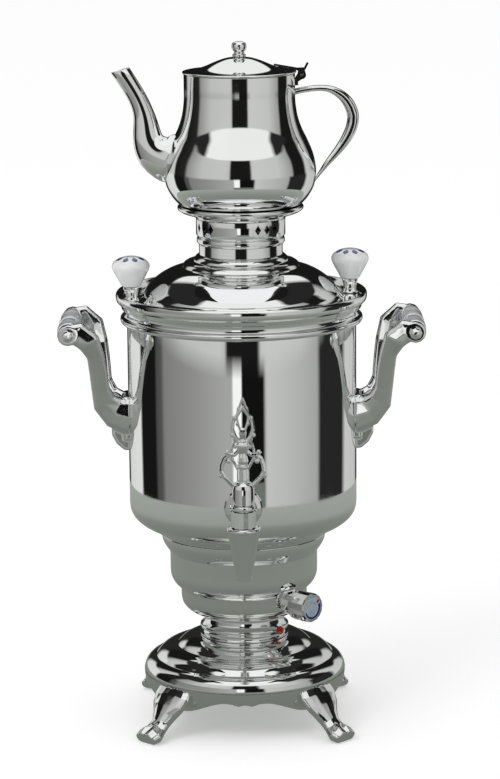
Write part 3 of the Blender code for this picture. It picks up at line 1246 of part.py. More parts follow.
def make_hinge_strap(lid_line, half_width):
    """Strap from the lid's slope to the knuckle, with a curled thumb lever."""
    toe_x = HINGE_X - HINGE_STRAP_LENGTH
    rising = lid_line[::-1]
    toe_z = POT_LID_TOP
    for (outer_r, outer_z), (inner_r, inner_z) in zip(rising, rising[1:]):
        if inner_r <= toe_x <= outer_r:
            toe_z = outer_z + (inner_z - outer_z) * (outer_r - toe_x) / (outer_r - inner_r)
    toe_z = toe_z + 2 * GAP
    reach = HINGE_KNUCKLE_RADIUS
    crest = HINGE_Z + reach
    thick = HINGE_STRAP_THICKNESS
    lean = Vector((math.cos(HINGE_LEVER_LEAN), math.sin(HINGE_LEVER_LEAN)))
    lever_foot = Vector((HINGE_X + reach / 2, crest))
    lever_tip = lever_foot + lean * HINGE_LEVER_LENGTH
    side = Vector((lean.y, -lean.x)) * HINGE_LEVER_THICKNESS / 2
    points = [(toe_x, toe_z + thick / 2), (toe_x, toe_z), (HINGE_X - reach, crest)]
    points += [(HINGE_X - reach * math.sin(angle), HINGE_Z + reach * math.cos(angle))
               for angle in (math.radians(step) for step in range(60, 331, 30))]
    points += [tuple(lever_foot + side), tuple(lever_tip + side), tuple(lever_tip - side),
               tuple(lever_foot - side + lean * thick), (HINGE_X - reach, crest + thick)]
    return prism("hinge_strap", points, half_width, "chrome")


def centre_on_floor():
    """Move everything so that the middle from the tap to the back of the lid is over the origin."""
    front = TAP_Y - TAP_SPOUT_TOP_RADIUS
    for item in bpy.data.objects:
        if item.parent is None:
            item.location.y -= (front + LID_RADIUS) / 2


def build():
    clear_scene()
    make_base()
    make_feet()
    make_neck()
    make_housing()
    make_tie_rod()
    tank_clearance = make_tank()
    make_carry_handles(tank_clearance)
    make_lid()
    make_crown()
    make_teapot()
    centre_on_floor()


build()
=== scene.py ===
"""Looks, studio and camera for the chrome electric samovar with its porcelain grips and teapot."""
import math

import bpy
from mathutils import Matrix, Vector


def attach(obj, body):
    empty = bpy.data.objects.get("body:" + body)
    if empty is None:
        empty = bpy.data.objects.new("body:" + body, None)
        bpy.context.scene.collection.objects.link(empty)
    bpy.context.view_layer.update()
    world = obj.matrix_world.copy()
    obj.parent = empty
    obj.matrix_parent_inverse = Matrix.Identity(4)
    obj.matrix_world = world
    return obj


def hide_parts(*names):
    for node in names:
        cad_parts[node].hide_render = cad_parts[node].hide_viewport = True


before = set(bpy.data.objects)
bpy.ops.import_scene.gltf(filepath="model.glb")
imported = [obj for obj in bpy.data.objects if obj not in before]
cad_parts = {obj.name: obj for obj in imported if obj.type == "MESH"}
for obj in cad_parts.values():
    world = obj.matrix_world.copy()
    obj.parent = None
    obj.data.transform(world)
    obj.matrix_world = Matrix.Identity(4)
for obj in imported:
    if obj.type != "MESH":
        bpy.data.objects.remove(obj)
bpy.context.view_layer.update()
bpy.ops.object.select_all(action="DESELECT")

# The tank's vertical axis stands this far behind the origin
AXIS_Y = 0.0194
# The lid is put on with its two knobs turned this far from the sides
KNOB_TURN = math.radians(10)
KNOB_REACH = 0.0828

# Petals painted on the porcelain knobs: how many, how far out from the knob's middle and from which height up
PETAL_COUNT = 8
PETAL_REACH = 0.0112
PETAL_LEVEL = 0.349

# Axis of the porcelain grips
GRIP_REACH = 0.1278
GRIP_LEVEL = 0.3023
# Lines painted round a grip: distance from its middle and half width
GRIP_LINES = ((0.0310, 0.0005), (0.0268, 0.0004), (0.0120, 0.0004), (0.0092, 0.0004))
CHEVRON_COUNT = 12
CHEVRON_DEPTH = 0.005
CHEVRON_PLACE = 0.0277
CHEVRON_HALF_WIDTH = 0.0003

# Thermostat dial: its direction, centre and the outer edge of its blue arc
DIAL_AZIMUTH = math.radians(46)
DIAL_REACH = 0.0705
DIAL_LEVEL = 0.096133
DIAL_ARC_RADIUS = 0.0085
DIAL_TICKS = 16.0

# Skirt, in millimetres: top edge, its flare inwards, wall, and the lift of the lower edge between the feet
SKIRT_RADIUS = 76.3
SKIRT_TOP = 37.4
SKIRT_DEPTH = 17.6
SKIRT_FLARE = 3.3
SKIRT_FLARE_POWER = 1.6
SKIRT_WALL = 2.4
SKIRT_ROWS = 12
ARCH_LIFT = 10.5
BOW_DROP = 1.2
# Shares of the way from the middle of a side to a foot
ARCH_FLAT_SHARE = 0.22
ARCH_SLOPE_SHARE = 0.66
BOW_SHARE = 0.36
BOW_POINT_SHARE = 0.18

# Opening for the mains inlet in the back of the lower housing
INLET_CENTRE = (0.0, AXIS_Y + 0.047, 0.11864)
INLET_SIZE = (0.0274, 0.03, 0.0204)

# Diamonds cut through the crown in four groups of three
DIAMOND_AZIMUTH = 35.5
DIAMOND_STEP = 13
DIAMOND_SIZE = (0.0049, 0.0074)
DIAMOND_REACH = 0.0326
DIAMOND_LEVEL = 0.37734
DIAMOND_CUT_DEPTH = 0.006

# Grain of the remeshed castings
KEY_VOXEL = 0.00028
HANDLE_VOXEL = 0.0007
FOOT_VOXEL = 0.0006

# Camera of the photograph
CAMERA_DISTANCE = 2.30
CAMERA_HEIGHT = 0.7164
CAMERA_PITCH = math.radians(11.4)
CAMERA_PAN = math.radians(0.145)
CAMERA_ROLL = math.radians(-0.52)
CAMERA_LENS = 144.6


# Node building blocks

def new_material(name, colour, roughness, metallic=0.0):
    """Material with its plain values set on the shader's own sockets."""
    material = bpy.data.materials.new(name)
    material.use_nodes = True
    material.diffuse_color = (*colour, 1.0)
    shader = material.node_tree.nodes["Principled BSDF"]
    shader.inputs["Base Color"].default_value = (*colour, 1.0)
    shader.inputs["Roughness"].default_value = roughness
    shader.inputs["Metallic"].default_value = metallic
    return material, shader


def add(tree, kind, **settings):
    node = tree.nodes.new(kind)
    for key, value in settings.items():
        setattr(node, key, value)
    return node


def math_node(tree, operation, first, second=None, clamp=False):
    """Math node whose inputs are sockets or numbers."""
    node = add(tree, "ShaderNodeMath", operation=operation, use_clamp=clamp)
    for index, value in enumerate((first, second)):
        if value is None:
            continue
        if hasattr(value, "is_output"):
            tree.links.new(value, node.inputs[index])
        else:
            node.inputs[index].default_value = value
    return node.outputs[0]


def ramp(tree, factor, stops, interpolation="LINEAR"):
    """Colour ramp from (place, grey or colour) stops."""
    node = add(tree, "ShaderNodeValToRGB")
    node.color_ramp.interpolation = interpolation
    while len(node.color_ramp.elements) < len(stops):
        node.color_ramp.elements.new(0.5)
    for element, (place, colour) in zip(node.color_ramp.elements, stops):
        element.position = place
        element.color = (colour, colour, colour, 1.0) if isinstance(colour, (int, float)) else (*colour, 1.0)
    tree.links.new(factor, node.inputs["Fac"])
    return node.outputs["Color"]


def mix_colour(tree, factor, first, second, blend="MIX"):
    node = add(tree, "ShaderNodeMix", data_type="RGBA", blend_type=blend)
    for name, value in (("Factor", factor), ("A", first), ("B", second)):
        socket = next(item for item in node.inputs if item.name == name and item.type in ("RGBA", "VALUE")
                      and (item.type == "VALUE") == (name == "Factor"))
        if hasattr(value, "is_output"):
            tree.links.new(value, socket)
        else:
            socket.default_value = value if name == "Factor" else (*value, 1.0)
    return next(item for item in node.outputs if item.type == "RGBA")


def object_position(tree):
    return add(tree, "ShaderNodeTexCoord").outputs["Object"]


def group_sockets(tree, inputs, outputs):
    for name, kind, value in inputs:
        socket = tree.interface.new_socket(name=name, in_out="INPUT", socket_type=kind)
        if value is not None:
            socket.default_value = value
    for name, kind in outputs:
        tree.interface.new_socket(name=name, in_out="OUTPUT", socket_type=kind)
    return tree.nodes.new("NodeGroupInput"), tree.nodes.new("NodeGroupOutput")


def make_polish_group():
    """Wear of polished metal: haze and hairlines in the roughness, uneven sheet in the height."""
    tree = bpy.data.node_groups.new("polish_wear", "ShaderNodeTree")
    start, end = group_sockets(
        tree,
        [("Position", "NodeSocketVector", None), ("Roughness", "NodeSocketFloat", 0.05),
         ("Haze", "NodeSocketFloat", 0.04), ("Wave Scale", "NodeSocketFloat", 18.0)],
        [("Roughness", "NodeSocketFloat"), ("Height", "NodeSocketFloat"), ("Tint", "NodeSocketFloat")])
    haze = add(tree, "ShaderNodeTexNoise")
    haze.inputs["Scale"].default_value = 34.0
    haze.inputs["Detail"].default_value = 5.0
    haze.inputs["Roughness"].default_value = 0.62
    tree.links.new(start.outputs["Position"], haze.inputs["Vector"])
    smear = math_node(tree, "SUBTRACT", haze.outputs["Fac"], 0.5, clamp=True)
    hairs = add(tree, "ShaderNodeTexNoise")
    hairs.inputs["Scale"].default_value = 900.0
    hairs.inputs["Detail"].default_value = 2.0
    stretch = add(tree, "ShaderNodeVectorMath", operation="MULTIPLY")
    stretch.inputs[1].default_value = (0.12, 0.12, 1.0)
    tree.links.new(start.outputs["Position"], stretch.inputs[0])
    tree.links.new(stretch.outputs[0], hairs.inputs["Vector"])
    fine = math_node(tree, "SUBTRACT", hairs.outputs["Fac"], 0.56, clamp=True)
    rough = math_node(tree, "ADD", start.outputs["Roughness"],
                      math_node(tree, "MULTIPLY", math_node(tree, "ADD", smear, fine), start.outputs["Haze"]))
    tree.links.new(rough, end.inputs["Roughness"])
    wave = add(tree, "ShaderNodeTexNoise")
    wave.inputs["Detail"].default_value = 1.0
    tree.links.new(start.outputs["Position"], wave.inputs["Vector"])
    tree.links.new(start.outputs["Wave Scale"], wave.inputs["Scale"])
    tree.links.new(wave.outputs["Fac"], end.inputs["Height"])
    tint = math_node(tree, "SUBTRACT", 1.0, math_node(tree, "MULTIPLY", smear, 0.25))
    tree.links.new(tint, end.inputs["Tint"])
    return tree


POLISH = make_polish_group()


def polished(name, colour, roughness, haze, wave_scale, wave_height):
    """Metal with the shared wear; wave_height is how far the sheet is uneven, in metres."""
    material, shader = new_material(name, colour, roughness, 1.0)
    tree = material.node_tree
    wear = add(tree, "ShaderNodeGroup", node_tree=POLISH)
    tree.links.new(object_position(tree), wear.inputs["Position"])
    wear.inputs["Roughness"].default_value = roughness
    wear.inputs["Haze"].default_value = haze
    wear.inputs["Wave Scale"].default_value = wave_scale
    tree.links.new(wear.outputs["Roughness"], shader.inputs["Roughness"])
    bump = add(tree, "ShaderNodeBump")
    bump.inputs["Strength"].default_value = 1.0
    bump.inputs["Distance"].default_value = wave_height
    tree.links.new(wear.outputs["Height"], bump.inputs["Height"])
    tree.links.new(bump.outputs["Normal"], shader.inputs["Normal"])
    tinted = mix_colour(tree, wear.outputs["Tint"], tuple(0.80 * value for value in colour), colour)
    tree.links.new(tinted, shader.inputs["Base Color"])
    return material


# Finishes of the metal pieces
sheet_chrome = polished("sheet_chrome", (0.90, 0.905, 0.905), 0.030, 0.16, 9.0, 0.00006)
spun_chrome = polished("spun_chrome", (0.90, 0.905, 0.905), 0.035, 0.18, 22.0, 0.00004)
cast_chrome = polished("cast_chrome", (0.87, 0.875, 0.875), 0.060, 0.30, 70.0, 0.00012)
bright_steel = polished("bright_steel", (0.62, 0.61, 0.60), 0.22, 0.50, 60.0, 0.00004)
nut_brass = polished("nut_brass", (0.72, 0.55, 0.28), 0.22, 0.50, 60.0, 0.00004)


def petals(tree, position, centre, top, count, reach):
    """Mask of dark petals painted round the crown of a porcelain knob."""
    split = add(tree, "ShaderNodeSeparateXYZ")
    tree.links.new(position, split.inputs[0])
    x = math_node(tree, "SUBTRACT", split.outputs["X"], centre[0])
    y = math_node(tree, "SUBTRACT", split.outputs["Y"], centre[1])
    radius = math_node(tree, "SQRT", math_node(tree, "ADD", math_node(tree, "MULTIPLY", x, x),
                                               math_node(tree, "MULTIPLY", y, y)))
    angle = math_node(tree, "ARCTAN2", y, x)
    turn = math_node(tree, "MULTIPLY", angle, count / math.tau)
    near = math_node(tree, "ABSOLUTE", math_node(tree, "SUBTRACT", math_node(tree, "FRACT", turn), 0.5))
    across = math_node(tree, "MULTIPLY", math_node(tree, "MULTIPLY", near, math.tau / count), radius)
    along = math_node(tree, "DIVIDE", math_node(tree, "SUBTRACT", radius, reach * 0.42), reach * 0.58)
    inside = math_node(tree, "MULTIPLY", math_node(tree, "GREATER_THAN", along, 0.0),
                       math_node(tree, "LESS_THAN", along, 1.0))
    swell = math_node(tree, "MULTIPLY", along, math_node(tree, "SUBTRACT", 1.02, along))
    width = math_node(tree, "MULTIPLY", math_node(tree, "MULTIPLY", swell, along), reach * 1.25)
    body = math_node(tree, "LESS_THAN", across, width)
    above = math_node(tree, "GREATER_THAN", split.outputs["Z"], top)
    return math_node(tree, "MULTIPLY", math_node(tree, "MULTIPLY", body, inside), above)


def glaze(name, paint=None):
    """Glossy white glaze with a faint unevenness; paint adds the blue brushwork."""
    white = (0.86, 0.87, 0.87)
    blue = (0.035, 0.075, 0.24)
    material, shader = new_material(name, white, 0.10)
    tree = material.node_tree
    position = object_position(tree)
    clouds = add(tree, "ShaderNodeTexNoise")
    clouds.inputs["Scale"].default_value = 55.0
    clouds.inputs["Detail"].default_value = 3.0
    tree.links.new(position, clouds.inputs["Vector"])
    body = ramp(tree, clouds.outputs["Fac"], [(0.25, (0.80, 0.81, 0.81)), (0.75, (0.88, 0.885, 0.88))])
    if paint is None:
        tree.links.new(body, shader.inputs["Base Color"])
    else:
        tree.links.new(mix_colour(tree, paint(tree, position), body, blue), shader.inputs["Base Color"])
    ripple = add(tree, "ShaderNodeBump")
    ripple.inputs["Strength"].default_value = 1.0
    ripple.inputs["Distance"].default_value = 0.00003
    tree.links.new(clouds.outputs["Fac"], ripple.inputs["Height"])
    tree.links.new(ripple.outputs["Normal"], shader.inputs["Normal"])
    tree.links.new(math_node(tree, "ADD", math_node(tree, "MULTIPLY", clouds.outputs["Fac"], 0.06), 0.06),
                   shader.inputs["Roughness"])
    shader.inputs["Coat Weight"].default_value = 0.6
    shader.inputs["Coat Roughness"].default_value = 0.04
    return material


def grip_lines(tree, position):
    """Blue lines round the grip near its ends and chevrons between them."""
    split = add(tree, "ShaderNodeSeparateXYZ")
    tree.links.new(position, split.inputs[0])
    along = math_node(tree, "ABSOLUTE", math_node(tree, "SUBTRACT", split.outputs["Y"], AXIS_Y))
    mask = None
    for place, half in GRIP_LINES:
        line = math_node(tree, "LESS_THAN",
                         math_node(tree, "ABSOLUTE", math_node(tree, "SUBTRACT", along, place)), half)
        mask = line if mask is None else math_node(tree, "MAXIMUM", mask, line)
    side = math_node(tree, "ABSOLUTE", split.outputs["X"])
    height = math_node(tree, "SUBTRACT", split.outputs["Z"], GRIP_LEVEL)
    angle = math_node(tree, "ARCTAN2", height, math_node(tree, "SUBTRACT", side, GRIP_REACH))
    turn = math_node(tree, "FRACT", math_node(tree, "MULTIPLY", angle, CHEVRON_COUNT / math.tau))
    fold = math_node(tree, "ABSOLUTE", math_node(tree, "SUBTRACT", turn, 0.5))
    target = math_node(tree, "ADD", math_node(tree, "MULTIPLY", fold, CHEVRON_DEPTH), CHEVRON_PLACE)
    away = math_node(tree, "ABSOLUTE", math_node(tree, "SUBTRACT", along, target))
    chevron = math_node(tree, "LESS_THAN", away, CHEVRON_HALF_WIDTH)
    return math_node(tree, "MAXIMUM", mask, chevron)


def fine_plastic(name, colour, roughness, grain_scale, grain_height):
    """Moulded plastic or rubber with a fine grain."""
    material, shader = new_material(name, colour, roughness)
    tree = material.node_tree
    grain = add(tree, "ShaderNodeTexNoise")
    grain.inputs["Scale"].default_value = grain_scale
    grain.inputs["Detail"].default_value = 3.0
    tree.links.new(object_position(tree), grain.inputs["Vector"])
    bump = add(tree, "ShaderNodeBump")
    bump.inputs["Strength"].default_value = 1.0
    bump.inputs["Distance"].default_value = grain_height
    tree.links.new(grain.outputs["Fac"], bump.inputs["Height"])
    tree.links.new(bump.outputs["Normal"], shader.inputs["Normal"])
    light = tuple(min(1.0, value * 1.25 + 0.004) for value in colour)
    mottled = ramp(tree, grain.outputs["Fac"], [(0.3, colour), (0.75, light)])
    tree.links.new(mottled, shader.inputs["Base Color"])
    spread = math_node(tree, "MULTIPLY", grain.outputs["Fac"], 0.2)
    tree.links.new(math_node(tree, "ADD", spread, roughness - 0.1), shader.inputs["Roughness"])
    return material


def lens_red():
    """Ribbed red lens of the pilot lamp."""
    material, shader = new_material("lens_red", (0.42, 0.012, 0.012), 0.12)
    tree = material.node_tree
    facets = add(tree, "ShaderNodeTexVoronoi")
    facets.inputs["Scale"].default_value = 700.0
    tree.links.new(object_position(tree), facets.inputs["Vector"])
    colour = ramp(tree, facets.outputs["Distance"], [(0.0, (0.55, 0.02, 0.015)), (0.7, (0.25, 0.004, 0.004))])
    tree.links.new(colour, shader.inputs["Base Color"])
    bump = add(tree, "ShaderNodeBump")
    bump.inputs["Strength"].default_value = 0.6
    bump.inputs["Distance"].default_value = 0.0001
    tree.links.new(facets.outputs["Distance"], bump.inputs["Height"])
    tree.links.new(bump.outputs["Normal"], shader.inputs["Normal"])
    shader.inputs["Coat Weight"].default_value = 0.8
    return material


def dial_face():
    """Silver dial with a blue arc that widens, tick marks and a red mark at its hot end."""
    material, shader = new_material("dial_face", (0.52, 0.58, 0.68), 0.22, 0.55)
    tree = material.node_tree
    out = Vector((math.sin(DIAL_AZIMUTH), -math.cos(DIAL_AZIMUTH), 0.0))
    across = Vector((math.cos(DIAL_AZIMUTH), math.sin(DIAL_AZIMUTH), 0.0))
    centre = Vector((0.0, AXIS_Y, DIAL_LEVEL)) + out * DIAL_REACH
    away = add(tree, "ShaderNodeVectorMath", operation="SUBTRACT")
    away.inputs[1].default_value = centre
    tree.links.new(object_position(tree), away.inputs[0])
    side = add(tree, "ShaderNodeVectorMath", operation="DOT_PRODUCT")
    side.inputs[1].default_value = across
    tree.links.new(away.outputs[0], side.inputs[0])
    rise = add(tree, "ShaderNodeVectorMath", operation="DOT_PRODUCT")
    rise.inputs[1].default_value = (0.0, 0.0, 1.0)
    tree.links.new(away.outputs[0], rise.inputs[0])
    u, v = side.outputs["Value"], rise.outputs["Value"]
    radius = math_node(tree, "SQRT", math_node(tree, "ADD", math_node(tree, "MULTIPLY", u, u),
                                               math_node(tree, "MULTIPLY", v, v)))
    angle = math_node(tree, "ARCTAN2", u, math_node(tree, "MULTIPLY", v, -1.0))
    share = math_node(tree, "DIVIDE", math_node(tree, "ADD", angle, math.pi), math.tau)

    def between(value, low, high):
        return math_node(tree, "MULTIPLY", math_node(tree, "GREATER_THAN", value, low),
                         math_node(tree, "LESS_THAN", value, high))

    inner = math_node(tree, "SUBTRACT", 0.0082, math_node(tree, "MULTIPLY", share, 0.0028))
    arc_band = math_node(tree, "MULTIPLY", between(radius, inner, DIAL_ARC_RADIUS), between(share, 0.30, 0.80))
    hot = math_node(tree, "MULTIPLY", between(share, 0.83, 0.875), between(radius, 0.0055, DIAL_ARC_RADIUS))
    turn = math_node(tree, "FRACT", math_node(tree, "MULTIPLY", share, DIAL_TICKS))
    beside = math_node(tree, "ABSOLUTE", math_node(tree, "SUBTRACT", turn, 0.5))
    ticks = math_node(tree, "LESS_THAN", beside, 0.06)
    ticks = math_node(tree, "MULTIPLY", ticks, between(radius, 0.0038, 0.0048))
    brushed = add(tree, "ShaderNodeTexNoise")
    brushed.inputs["Scale"].default_value = 500.0
    tree.links.new(object_position(tree), brushed.inputs["Vector"])
    silver = ramp(tree, brushed.outputs["Fac"], [(0.3, (0.42, 0.49, 0.60)), (0.7, (0.60, 0.66, 0.74))])
    colour = mix_colour(tree, arc_band, silver, (0.022, 0.035, 0.22))
    colour = mix_colour(tree, ticks, colour, (0.05, 0.06, 0.16))
    colour = mix_colour(tree, hot, colour, (0.55, 0.02, 0.02))
    tree.links.new(colour, shader.inputs["Base Color"])
    return material


black_moulding = fine_plastic("black_moulding", (0.022, 0.022, 0.024), 0.42, 1200.0, 0.00003)
seal_rubber = fine_plastic("seal_rubber", (0.035, 0.034, 0.033), 0.72, 800.0, 0.00004)
raw_ceramic = fine_plastic("raw_ceramic", (0.72, 0.70, 0.66), 0.62, 900.0, 0.00003)

lens_material = lens_red()
dial_material = dial_face()

MATERIAL_OF = {
    "tank": sheet_chrome, "teapot_body": sheet_chrome, "teapot_spout": sheet_chrome,
    "base_dome": spun_chrome, "neck": spun_chrome, "lower_housing": spun_chrome, "lid": spun_chrome,
    "rim_ring": spun_chrome, "crown_collar": spun_chrome, "gallery": spun_chrome, "teapot_lid": spun_chrome,
    "finial": spun_chrome, "thermostat_boss": spun_chrome, "thermostat_knob": spun_chrome,
    "knob_stem_left": spun_chrome, "knob_stem_right": spun_chrome, "tap_plug": spun_chrome,
    "tap_gland_ring": spun_chrome, "tap_spout": spun_chrome, "tap_escutcheon": spun_chrome,
    "pilot_lamp": lens_material, "thermostat_dial": dial_material,
    "thermostat_switch": black_moulding, "mains_inlet": black_moulding, "dry_boil_cutout": black_moulding,
    "tap_seal": seal_rubber, "terminal_block": raw_ceramic,
    "element_nut_left": nut_brass, "element_nut_right": nut_brass, "tap_inner_nut": nut_brass,
}
for name in ("tie_rod", "tie_washer", "tie_nut", "heating_element", "grip_rod_left", "grip_rod_right",
             "hinge_pin", "thermostat_shaft"):
    MATERIAL_OF[name] = bright_steel
for side, reach in (("left", -KNOB_REACH), ("right", KNOB_REACH)):
    middle = (reach * math.cos(KNOB_TURN), AXIS_Y + reach * math.sin(KNOB_TURN))
    MATERIAL_OF[f"lid_knob_{side}"] = glaze(
        f"knob_glaze_{side}",
        lambda tree, position, centre=middle: petals(
            tree, position, centre, PETAL_LEVEL, PETAL_COUNT, PETAL_REACH))
    MATERIAL_OF[f"grip_{side}"] = glaze(f"grip_glaze_{side}", grip_lines)


def dress(item, material):
    """Give a node its finish."""
    for slot in item.material_slots:
        slot.material = material
    if not item.material_slots:
        item.data.materials.append(material)


for name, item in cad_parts.items():
    dress(item, MATERIAL_OF.get(name, cast_chrome))


# Turned pieces

def fair(run, steps):
    """Smooth curve through the points of one run of an outline."""
    if len(run) < 3:
        return list(run)
    points = [Vector(point) for point in run]
    result = []
    for index in range(len(points) - 1):
        start, end = points[index], points[index + 1]
        before = points[max(index - 1, 0)]
        after = points[min(index + 2, len(points) - 1)]
        for step in range(steps):
            t = step / steps
            result.append(0.5 * (2 * start + (end - before) * t
                                 + (2 * before - 5 * start + 4 * end - after) * t * t
                                 + (3 * start - before - 3 * end + after) * t * t * t))
    result.append(points[-1])
    return [tuple(point) for point in result]


def arc(start, end, rise, steps=8):
    """Even roll from start to end that stands off the straight line by rise."""
    length = math.dist(start, end)
    normal = ((start[1] - end[1]) / length, (end[0] - start[0]) / length)
    points = []
    for step in range(steps + 1):
        along = step / steps
        lift = rise * 4 * along * (1 - along)
        points.append(tuple(start[i] + (end[i] - start[i]) * along + normal[i] * lift for i in (0, 1)))
    return points


def outline(runs, steps=5):
    """Points in metres from runs in millimetres; each run is smooth and meets the next at a corner."""
    points = []
    for run in runs:
        for radius, level in (fair(run, steps) if len(run) < 8 else run):
            point = (radius / 1000, level / 1000)
            if not points or math.dist(points[-1], point) > 0.00002:
                points.append(point)
    return points


def leave_edit():
    bpy.ops.object.mode_set(mode="OBJECT")


def apply_all(item):
    bpy.context.view_layer.objects.active = item
    for modifier in list(item.modifiers):
        bpy.ops.object.modifier_apply(modifier=modifier.name)


def shade(item, degrees=32):
    bpy.ops.object.select_all(action="DESELECT")
    item.select_set(True)
    bpy.context.view_layer.objects.active = item
    bpy.ops.object.shade_smooth_by_angle(angle=math.radians(degrees))
    bpy.ops.object.select_all(action="DESELECT")


def settle(item, place):
    """Put a piece modelled on +Z into its place and leave its object at the origin."""
    bpy.ops.object.select_all(action="DESELECT")
    item.select_set(True)
    bpy.context.view_layer.objects.active = item
    item.matrix_world = place
    bpy.ops.object.transform_apply(location=True, rotation=True, scale=True)
    bpy.ops.object.select_all(action="DESELECT")


def turned(name, runs, segments=112, closed=False, wall=0.0, edge=0.00035, place=None, steps=5):
    """Outline drawn by pulling one vertex along, spun about +Z, with a wall and eased edges."""
    points = outline(runs, steps)
    bpy.ops.mesh.primitive_plane_add(size=0.001, location=(points[0][0], 0.0, points[0][1]))
    item = bpy.context.object
    item.name = name
    bpy.ops.object.transform_apply(location=True)
    bpy.ops.object.mode_set(mode="EDIT")
    bpy.ops.mesh.select_all(action="SELECT")
    bpy.ops.mesh.merge(type="CENTER")
    ends = points[1:] + ([points[0]] if closed else [])
    here = points[0]
    for point in ends:
        step = (point[0] - here[0], 0.0, point[1] - here[1])
        bpy.ops.mesh.extrude_vertices_move(TRANSFORM_OT_translate={"value": step})
        here = point
    bpy.ops.mesh.select_all(action="SELECT")
    bpy.ops.mesh.spin(steps=segments, angle=math.tau, center=(0.0, 0.0, 0.0), axis=(0.0, 0.0, 1.0))
    bpy.ops.mesh.select_all(action="SELECT")
    bpy.ops.mesh.remove_doubles(threshold=0.000005)
    bpy.ops.mesh.normals_make_consistent(inside=False)
    leave_edit()
    if not closed:
        outwardness = sum(face.normal.x * face.center.x + face.normal.y * face.center.y
                          for face in item.data.polygons)
        if outwardness < 0:
            bpy.ops.object.mode_set(mode="EDIT")
            bpy.ops.mesh.select_all(action="SELECT")
            bpy.ops.mesh.flip_normals()
            leave_edit()
    if wall:
        sheet = item.modifiers.new("wall", "SOLIDIFY")
        sheet.thickness = wall
        sheet.offset = -1.0
    if edge:
        ease = item.modifiers.new("eased_edges", "BEVEL")
        ease.width = edge
        ease.segments = 2
        ease.limit_method = "ANGLE"
        ease.angle_limit = math.radians(35)
        ease.use_clamp_overlap = True
    apply_all(item)
    settle(item, place if place is not None else ON_AXIS)
    shade(item)
    return item


def merged_copy(name, node):
    """Copy of a node's solid with its loose triangles joined; it stays active and in edit mode."""
    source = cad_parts[node]
    item = source.copy()
    item.data = source.data.copy()
    item.name = name
    item.parent = None
    item.matrix_world = Matrix.Identity(4)
    bpy.context.collection.objects.link(item)
    bpy.ops.object.select_all(action="DESELECT")
    item.select_set(True)
    bpy.context.view_layer.objects.active = item
    bpy.ops.object.mode_set(mode="EDIT")
    bpy.ops.mesh.select_all(action="SELECT")
    bpy.ops.mesh.remove_doubles(threshold=0.000005)
    return item


def cast_copy(name, node, voxel, smoothing):
    """A casting's solid with its inner corners filled and its edges worn round."""
    item = merged_copy(name, node)
    leave_edit()
    grain = item.modifiers.new("skin", "REMESH")
    grain.mode = "VOXEL"
    grain.voxel_size = voxel
    worn = item.modifiers.new("worn", "SMOOTH")
    worn.factor = 0.5
    worn.iterations = smoothing
    apply_all(item)
    shade(item, 60)
    return item


def rounded_copy(name, node, levels, crease_degrees=45):
    """A swept piece's solid, refined to an even curve with its sharp rims kept."""
    item = merged_copy(name, node)
    bpy.ops.mesh.tris_convert_to_quads(face_threshold=math.radians(40), shape_threshold=math.radians(60))
    bpy.ops.mesh.select_all(action="DESELECT")
    bpy.ops.mesh.edges_select_sharp(sharpness=math.radians(crease_degrees))
    bpy.ops.transform.edge_crease(value=0.9)
    leave_edit()
    refine = item.modifiers.new("refined", "SUBSURF")
    refine.levels = levels
    refine.render_levels = levels
    apply_all(item)
    shade(item, 40)
    return item


def stand_in_for(item, node, body, material):
    """Finish a piece: its material, the body it rides on and the node it replaces."""
    item.data.materials.clear()
    item.data.materials.append(material)
    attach(item, body)
    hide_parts(node)
    return item


ON_AXIS = Matrix.Translation((0.0, AXIS_Y, 0.0))
TAP_AXIS = Matrix.Translation((0.0, AXIS_Y - 0.12, 0.0))


def make_base():
    dome = arc((33.0, 64.5), (51.0, 56.9), 2.4) + arc((51.0, 56.9), (67.0, 48.6), 2.4) + arc(
        (67.0, 48.6), (76.3, 38.5), 2.4)
    item = turned("base_dome_spun", [((4.4, 64.5), (33.0, 64.5)), tuple(dome), ((76.3, 38.5), (76.3, 37.7))],
                  wall=0.0012, edge=0.0003)
    stand_in_for(item, "base_dome", "stand", spun_chrome)


def skirt_lift(azimuth):
    """How far, in metres, the lower edge is raised: an arch between the feet with a small bow at its middle."""
    quarter = abs(math.remainder(azimuth - math.pi / 2, math.pi / 2)) / (math.pi / 4)
    t = min(max((quarter - ARCH_FLAT_SHARE) / ARCH_SLOPE_SHARE, 0.0), 1.0)
    bow = (1 + math.cos(math.pi * quarter / BOW_SHARE)) / 2 if quarter < BOW_SHARE else 0.0
    if quarter < BOW_POINT_SHARE:
        bow += (1 - math.cos(math.tau * quarter / BOW_POINT_SHARE)) / 2
    return (ARCH_LIFT * (1 - t * t * (3 - 2 * t)) - BOW_DROP * bow) / 1000


